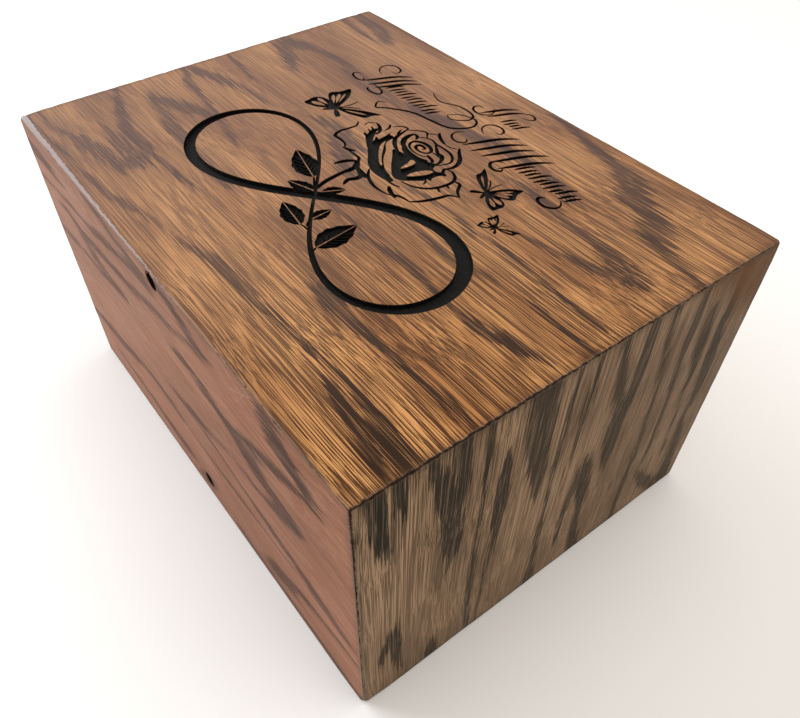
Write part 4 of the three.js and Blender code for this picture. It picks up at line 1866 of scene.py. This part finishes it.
TOP_FIGURE = (
    Streak(((-124, 86, 4), (-111, 85, 5), (-98, 82, 4), (-90, 77, 1.5))),
    Streak(((-124, 77, 2.5), (-109, 75, 2), (-93, 76, 1))),
    Streak((
        (-119, 39, 4), (-107, 45, 3.3), (-87, 48, 2.5), (-62, 48, 2.2), (-33, 46, 2.2),
        (-17, 50, 4), (7, 54, 4), (34, 58, 4), (56, 55, 3), (64, 50, 1.3),
    )),
    Streak(((-119, 39, 3), (-112, 33, 3.6), (-102, 29, 2.5), (-93, 25, 1.3))),
    Streak(((-73, 44, 1.5), (-58, 43, 2.5), (-42, 43, 1.8), (-26, 45, 1.5))),
    Streak((
        (16, 93, 1.6), (38, 89, 2.5), (58, 85, 4), (72, 79, 3.6), (80, 71, 4.4),
        (92, 66, 3.6), (98, 59, 3.3), (103, 55, 2.4), (125, 51, 1.8),
    )),
    Streak((
        (52, 44, 2.2), (70, 41, 3), (87, 40, 3.3), (99, 38, 4), (108, 33, 3),
        (100, 29.5, 2.4), (83, 25, 2), (67, 22, 1.6), (54, 21, 1),
    )),
    Streak(((-123, -15, 1.6), (-111, -10, 2.2), (-95, -4, 1.8), (-73, -1.5, 1.3))),
    Streak((
        (-123, -16, 1.5), (-109, -21, 2.5), (-87, -22.5, 1.8), (-73, -25, 1.8),
        (-58, -28, 2.2), (-48, -31, 1),
    )),
    Streak(((-104, -40, 2.5), (-94, -35, 4), (-82, -29, 3), (-71, -27, 1.8))),
    Streak(((-104, -42, 2.4), (-87, -43, 4), (-73, -45, 4.4), (-58, -46, 2.4), (-24, -48, 1))),
    Streak(((25, -8, 1), (47, -7, 1.8), (65, -6, 1.8), (83, -2.5, 1.5), (125, -2, 1.6))),
    Streak((
        (3, -21, 1.3), (25, -22.5, 2.2), (40, -24, 2.2), (56, -21, 2.2), (80, -23.5, 1.5),
        (99, -22, 2.2), (109, -18.5, 2.2), (118, -16, 1.3),
    )),
    Streak((
        (-125, -51, 1.6), (-113, -54, 2.2), (-98, -59, 3), (-86, -62, 3.6), (-74, -61.5, 4.7),
        (-61, -61.5, 3), (-33, -59, 1),
    )),
    Streak(((-96, -69, 1.6), (-82, -69, 3.3), (-68, -68, 4.4), (-60, -64, 2.4))),
    Streak(((-90, -79, 1.5), (-75, -77, 4.7), (-63, -76, 3.3), (-62, -70, 3.3))),
    Streak(((-125, -87, 1.6), (-113, -87, 2.2), (-98, -84, 2.2), (-80, -80, 2.5))),
    Streak((
        (-124, -92, 1.6), (-106, -91.5, 1.8), (-77, -89, 1.5), (-53, -88, 1.5), (-33, -84, 1.8),
        (-17, -80.5, 1.8), (3, -77, 2.5), (25, -73, 3.3), (43, -73.5, 3), (65, -71.5, 2.5),
        (80, -70, 1.8), (92, -69, 2.5), (107, -70.5, 4), (119, -73.5, 4.7), (126, -76, 3.6),
    )),
    Streak(((88, -74, 1.6), (107, -77, 2.7), (120, -80, 2.4))),
    Streak((
        (53, -50.5, 1.3), (58, -53.5, 4.4), (69, -54, 3.6), (83, -53, 2.4), (101, -51.5, 2.2),
        (126, -50.5, 1.5),
    )),
    Streak(((-44, 8, 1.3), (-33, 11, 3.3), (-22, 8, 4), (-15, 1, 3), (-4, -6, 1))),
    Streak(((63, 12, 1), (80, 10, 1.8), (98, 9, 1.8), (118, 8, 1.3))),
    Streak(((-126, 8, 1.3), (-113, 6.5, 2.2), (-96, 4, 1.3))),
    Streak(((21, 8, 1), (40, 11, 1.5), (56, 9, 1))),
)

FRONT_FIGURE = (
    Streak((
        (-48, 69, 2.3), (-29, 66, 3.2), (-17, 64.5, 3.6), (-7, 61, 4.8), (-5, 59, 3.6),
        (-22, 57, 2.6), (-40, 55, 3.2), (-58, 51, 2.9), (-89, 48, 1.9), (-126, 45, 1.4),
    )),
    Streak(((-124, 59.5, 5.8), (-109, 59, 5.2), (-89, 58, 1.9))),
    Streak((
        (10, 69.5, 1.9), (23, 65, 2.6), (34, 61, 3.6), (38.5, 58, 3.9), (29, 55, 2.6),
        (10, 50.5, 2.6), (-18, 45, 2.6), (-37, 41, 2.3), (-62, 38.5, 2.6), (-80, 36, 4.3),
        (-95, 39, 2.2), (-111, 37, 1.4),
    )),
    Streak(((-82, 34, 3.2), (-73, 28, 3.6), (-62, 25, 4.3), (-49, 25, 3.2), (-44, 25, 1.4))),
    Streak(((-55, 23.5, 2.3), (-66, 21, 2.6), (-98, 18.5, 2.2), (-126, 16, 2.2))),
    Streak((
        (84, 69.5, 3.6), (89, 61, 4.3), (94, 55, 4.3), (105, 48, 3.5), (94, 45, 3.6),
        (76, 39.5, 3.9), (67, 36, 3.9), (58, 29.5, 5.8), (63, 23.5, 5.2), (76, 19.5, 5.2),
        (89, 17, 3.5), (81, 11.5, 3.5), (70, 8, 2.6), (47, 6, 2.2), (25, 2, 2.2),
        (10, -2, 3.6), (-9, -5, 1.9),
    )),
    Streak(((13, 36, 2.6), (27, 37, 2.6), (38, 32, 4.3), (52, 28, 4.8))),
    Streak((
        (18, -7, 2.2), (38, -10, 2.3), (61, -13.5, 2.3), (83, -17, 3.6), (101, -20.5, 4.3),
        (118, -24.5, 3.2), (101, -24.5, 2.3), (65, -25.5, 1.9), (25, -27, 2.2), (-8, -26, 2.3),
        (-33, -24, 2.6), (-57, -25, 2.6), (-73, -30.5, 3.6), (-98, -35, 4.3), (-124, -40, 2.2),
    )),
    Streak((
        (125, -35, 2.6), (107, -37, 2.3), (92, -39.5, 2.6), (78, -45, 3.5), (69, -50, 4.8), (62, -59, 3.2),
    )),
    Streak(((-98, -53, 2.2), (-62, -55, 3.2), (-33, -56, 5.2), (-15, -55, 3.2))),
    Streak(((-4, -64, 2.6), (2, -57, 3.2), (3, -54, 2.2))),
    Streak(((29, -66, 2.6), (65, -67, 3.6), (125, -67, 2.2))),
)

END_FIGURE = (
    Streak(((-87, 69.5, 5.6), (-85, 52, 5), (-82, 38.5, 1.8))),
    Streak(((-78, 69.5, 3.1), (-77, 53, 2.1))),
    Streak((
        (-67, 69.5, 2.2), (-64, 56, 3.1), (-59, 43, 6.6), (-56, 25, 6.6), (-55, 9.5, 3.8), (-56, 0, 1.8),
    )),
    Streak(((-56, 69.5, 5.6), (-54.5, 52, 5.6), (-55, 38, 4.2))),
    Streak(((-44.5, 69.5, 1.4), (-44, 25, 1.4), (-43.5, -22, 2.1), (-42, -68.5, 2.2))),
    Streak((
        (-35, 47, 1.4), (-35, 29, 5), (-34.5, 14, 5), (-34, 0, 2.8), (-36, -37, 1.8), (-36, -68.5, 2.1),
    )),
    Streak(((-24, 69.5, 9), (-22, 54, 9.5), (-20, 39.5, 8), (-17, 25, 5.5), (-15, 8, 1.6))),
    Streak(((-8.5, 69.5, 1.4), (-8.5, 25, 1.4), (-7, -22, 2.1), (-5, -68.5, 3.8))),
    Streak(((1.6, 69.5, 1.4), (1, 36, 2.1), (0, 1, 1.4))),
    Streak(((12, 69.5, 2.1), (16, 52, 3.5), (21, 32, 3.5), (23, 17, 6.2), (25.5, 0, 3.4), (26.5, -9, 1.4))),
    Streak(((27, 69.5, 2.2), (27.5, 50, 4.6), (27, 34, 4.6), (25, 19.5, 3.1))),
    Streak(((11, 2, 3.1), (13.5, -6, 5), (17, -22, 3.5), (19, -48, 3.5), (23, -69.5, 5))),
    Streak(((10, -2, 3.5), (7, -22, 3.1), (7, -37, 2.2), (8, -48, 2.1))),
    Streak(((37.5, 69.5, 1.8), (40.5, 47, 2.5), (44.5, 29, 2.5), (47, -4, 2.1), (49, -68.5, 3.4))),
    Streak(((54, 69.5, 2.2), (53.5, 54, 3.5), (55, 32, 2.1), (58, 3, 2.1), (59, -31, 1.4))),
    Streak(((64, 53, 2.1), (65, 39.5, 4.2), (68, 25, 2.5), (70, 0, 2.1), (73.5, -34, 1.4))),
    Streak((
        (76, 69.5, 3.5), (77, 50, 3.5), (76, 38, 4.2), (79, 16, 6.2), (80.5, 0, 4.2),
        (79, -18.5, 3.5), (83, -38.5, 4.6), (86, -68.5, 6.6),
    )),
    Streak(((-85.5, -37.5, 2.5), (-80, -27, 3.5), (-79, -40, 4.6), (-76, -60, 1.4))),
    Streak(((-61, -60, 2.1), (-60.5, -67.5, 4.6))),
    Streak(((56.5, -39.5, 1.4), (68, -55, 2), (79, -67.5, 2.6))),
)

PLAIN_FIGURE = (
    Streak(((-125, 48, 1.5), (-60, 40, 2), (10, 44, 2), (125, 36, 1.5))),
    Streak(((-125, 20, 1.5), (-50, 17, 2.5), (60, 6, 3), (20, -6, 2), (-60, -12, 2), (-125, -16, 1.5))),
    Streak(((-125, -42, 1.5), (-20, -48, 2), (125, -40, 1.5))),
)

# The finish of each material slot of the boards

FINISHES = {
    "carved_top": OakFinish(
        "carved top oak", light=(0.63, 0.31, 0.108), deep=(0.34, 0.145, 0.045),
        band=(0.11, 0.048, 0.019), pore=(0.05, 0.017, 0.005), pore_depth=0.95,
        painted_sheen=(0.145, 0.113, 0.12), painted_sheen_depth=0.58, gloss=0.1, coat=0.05,
        band_line=(0.016, 0.007, 0.003),
    ),
    "front_oak": OakFinish(
        "front oak", light=(0.365, 0.153, 0.078), deep=(0.27, 0.108, 0.053),
        band=(0.046, 0.02, 0.01), pore=(0.11, 0.045, 0.025), pore_depth=0.42,
        band_depth=0.9, painted_sheen=(0.27, 0.125, 0.085), painted_sheen_depth=0.3, gloss=0.08, coat=0.04,
        band_line=(0.024, 0.01, 0.005), pale_colour=(0.5, 0.27, 0.17),
        scratches=(
            ((56, 129), (75, 141)), ((63, 128), (71, 139)),
            ((-5, 48), (2, 55)), ((-21.6, 69.6), (-18.5, 72)),
        ),
    ),
    "end_oak": OakFinish(
        "end oak", light=(0.44, 0.275, 0.155), deep=(0.235, 0.138, 0.07),
        band=(0.018, 0.013, 0.006), pore=(0.024, 0.014, 0.006), upright=True, pore_depth=0.72,
        band_depth=0.92, painted_sheen=(0.105, 0.064, 0.036), painted_sheen_depth=0.48, gloss=0.06, coat=0.02,
        band_line=(0.006, 0.006, 0.003),
    ),
    "plain_oak": OakFinish(
        "plain oak", light=(0.36, 0.18, 0.075), deep=(0.26, 0.12, 0.045),
        band=(0.09, 0.04, 0.018), pore=(0.08, 0.035, 0.014), band_depth=0.75, pore_depth=0.6,
    ),
}


class UrnBox:
    """The box: six boards and the finishes they carry."""

    screw_sides = (5.8, 1.5)  # the upper and the lower screw, to the right of the middle
    screw_web = 0.5  # wood between the upper screw's hole and the top face
    lower_screw_inset = 5.0  # from the inner face of the bottom board down to the screw's axis

    def __init__(self, box: BoxSizes, carving: CarvingSizes) -> None:
        """Works out the boards.

        Args:
            box: Sizes of the box.
            carving: Sizes of the carving.
        """
        self.box = box
        arris = Arris(box)
        upper = (self.screw_sides[0], box.height - self.screw_web - ScrewSizes.head)
        lower = (self.screw_sides[1], box.board - self.lower_screw_inset)
        middle = (carving.side_shift, box.depth / 2 - carving.from_back)

        def board(name: str, node: str, slot: str, side: Side, **more: object) -> Board:
            """A board of this box."""
            return Board(name, node, slot, side, box, arris, **more)

        self.boards = [
            board(
                "carved_top", "top_panel", "carved_top", Side.TOP, streaks=TOP_FIGURE,
                cuts=Drawing(carving).cuts(), cuts_from=middle, screws=[upper],
                seams=((0.2, 0.2), (0.8, 0.3), (0, 0.2), (0.2, 0.4)), fade=(1.0, 0.45, 1.0),
                pale=((0.4, 0.2), NO_HIGHLIGHT, (2.6, -1.3), NO_HIGHLIGHT),
            ),
            board(
                "front_board", "front_panel", "front_oak", Side.FRONT, streaks=FRONT_FIGURE,
                screws=[upper, lower], seams=((0.3, 0.3), (-0.8, 0.5), (0.5, 0.5), (0, 0.2)),
                pale=(NO_HIGHLIGHT, (0.8, 0.1), NO_HIGHLIGHT, (0.9, 0.1)),
            ),
            board(
                "oak_right_end", "right_end", "end_oak", Side.RIGHT, streaks=END_FIGURE,
                seams=((0.2, 0.8), (0.3, 0.4), (0.6, 0.6), (0.6, 0.3)), stain=(54.0, 46.0),
            ),
            board("oak_left_end", "left_end", "end_oak", Side.LEFT, streaks=END_FIGURE[::2]),
            board("back_board", "back_panel", "plain_oak", Side.BACK, streaks=PLAIN_FIGURE, fine=1.5),
            board(
                "bottom_board", "bottom_panel", "plain_oak", Side.BOTTOM, streaks=PLAIN_FIGURE,
                screws=[lower], fine=1.5,
            ),
        ]

    def build(self) -> list[bpy.types.Object]:
        """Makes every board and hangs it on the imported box.

        Returns:
            The boards.
        """
        made = []
        for board in self.boards:
            piece = board.build()
            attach(piece, "root")
            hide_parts(board.node)
            made.append(piece)
        return made

    def dress(self, pieces: Sequence[bpy.types.Object]) -> list[bpy.types.Object]:
        """Gives every board and screw its finish.

        Args:
            pieces: The boards, in order.

        Returns:
            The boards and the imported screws.
        """
        front = -float(self.box.half[1])
        made = {slot: finish.dress(front) for slot, finish in FINISHES.items()}
        for board, piece in zip(self.boards, pieces):
            piece.data.materials.append(made[board.slot])
        brass = BrassFinish().dress()
        screws = [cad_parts[name] for name in ("screw_upper", "screw_lower")]
        for screw in screws:
            screw.data.materials.clear()
            screw.data.materials.append(brass)
        return [*pieces, *screws]


@dataclass(frozen=True)
class Lamp:
    """A soft rectangular lamp, in metres and watts."""

    name: str
    place: tuple[float, float, float]
    aim: tuple[float, float, float]
    size: tuple[float, float]
    power: float
    colour: Colour

    def build(self) -> None:
        """Makes the lamp."""
        light = bpy.data.lights.new(self.name, "AREA")
        light.shape = "RECTANGLE"
        light.size, light.size_y = self.size
        light.energy, light.color = self.power, self.colour
        lamp = hang(self.name, light)
        lamp.location = self.place
        lamp.rotation_euler = (Vector(self.aim) - Vector(self.place)).to_track_quat("-Z", "Y").to_euler()


class Studio:
    """Pale floor, soft light and the camera, in metres."""

    lamps = (
        Lamp("window", (-1.5, -0.75, 0.85), (0, 0, 0.08), (1.5, 1.2), 36, (0.9, 0.95, 1.0)),
        Lamp("ceiling", (0.2, 0.3, 1.7), (0, 0, 0.1), (1.6, 1.6), 18, (1.0, 0.94, 0.86)),
    )
    eye = (0.2159, -0.1486, 0.3078)
    looks = (-0.531, 0.399, -0.748)
    lens = 33.41
    sensor = 36
    clip = 0.01
    shift = (0.0127, 0.0386)
    floor_reach = 3.0
    sky = (1.0, 0.97, 0.94, 1)
    sky_strength = 0.55

    def build(self) -> None:
        """Makes the floor, lamps, sky and camera."""
        data = bpy.data.meshes.new("floor")
        far = self.floor_reach
        data.from_pydata([(-far, -far, 0), (far, -far, 0), (far, far, 0), (-far, far, 0)], [], [(0, 1, 2, 3)])
        floor = hang("floor", data)
        data.materials.append(FloorFinish().dress())
        floor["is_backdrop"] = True
        for lamp in self.lamps:
            lamp.build()
        world = bpy.data.worlds.new("pale room")
        world.use_nodes = True
        background = world.node_tree.nodes["Background"]
        background.inputs["Color"].default_value = self.sky
        background.inputs["Strength"].default_value = self.sky_strength
        bpy.context.scene.world = world
        self.camera()
        bpy.context.scene.view_settings.view_transform = "Standard"

    def camera(self) -> None:
        """Places the camera."""
        data = bpy.data.cameras.new("camera")
        data.sensor_width = self.sensor
        data.lens = self.lens
        data.shift_x, data.shift_y = self.shift
        data.clip_start = self.clip
        camera = hang("camera", data)
        camera.location = self.eye
        camera.rotation_euler = Vector(self.looks).to_track_quat("-Z", "Y").to_euler()
        bpy.context.scene.camera = camera


def main() -> None:
    """Builds the groups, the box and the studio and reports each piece."""
    logging.basicConfig(level=logging.INFO, format="%(message)s")
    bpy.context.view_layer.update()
    for make in GROUPS:
        make()
    urn = UrnBox(BoxSizes.from_frame(), CarvingSizes())
    for piece in urn.dress(urn.build()):
        log.info("%s: %d faces", piece.name, len(piece.data.polygons))
    Studio().build()


if __name__ == "__main__":
    main()
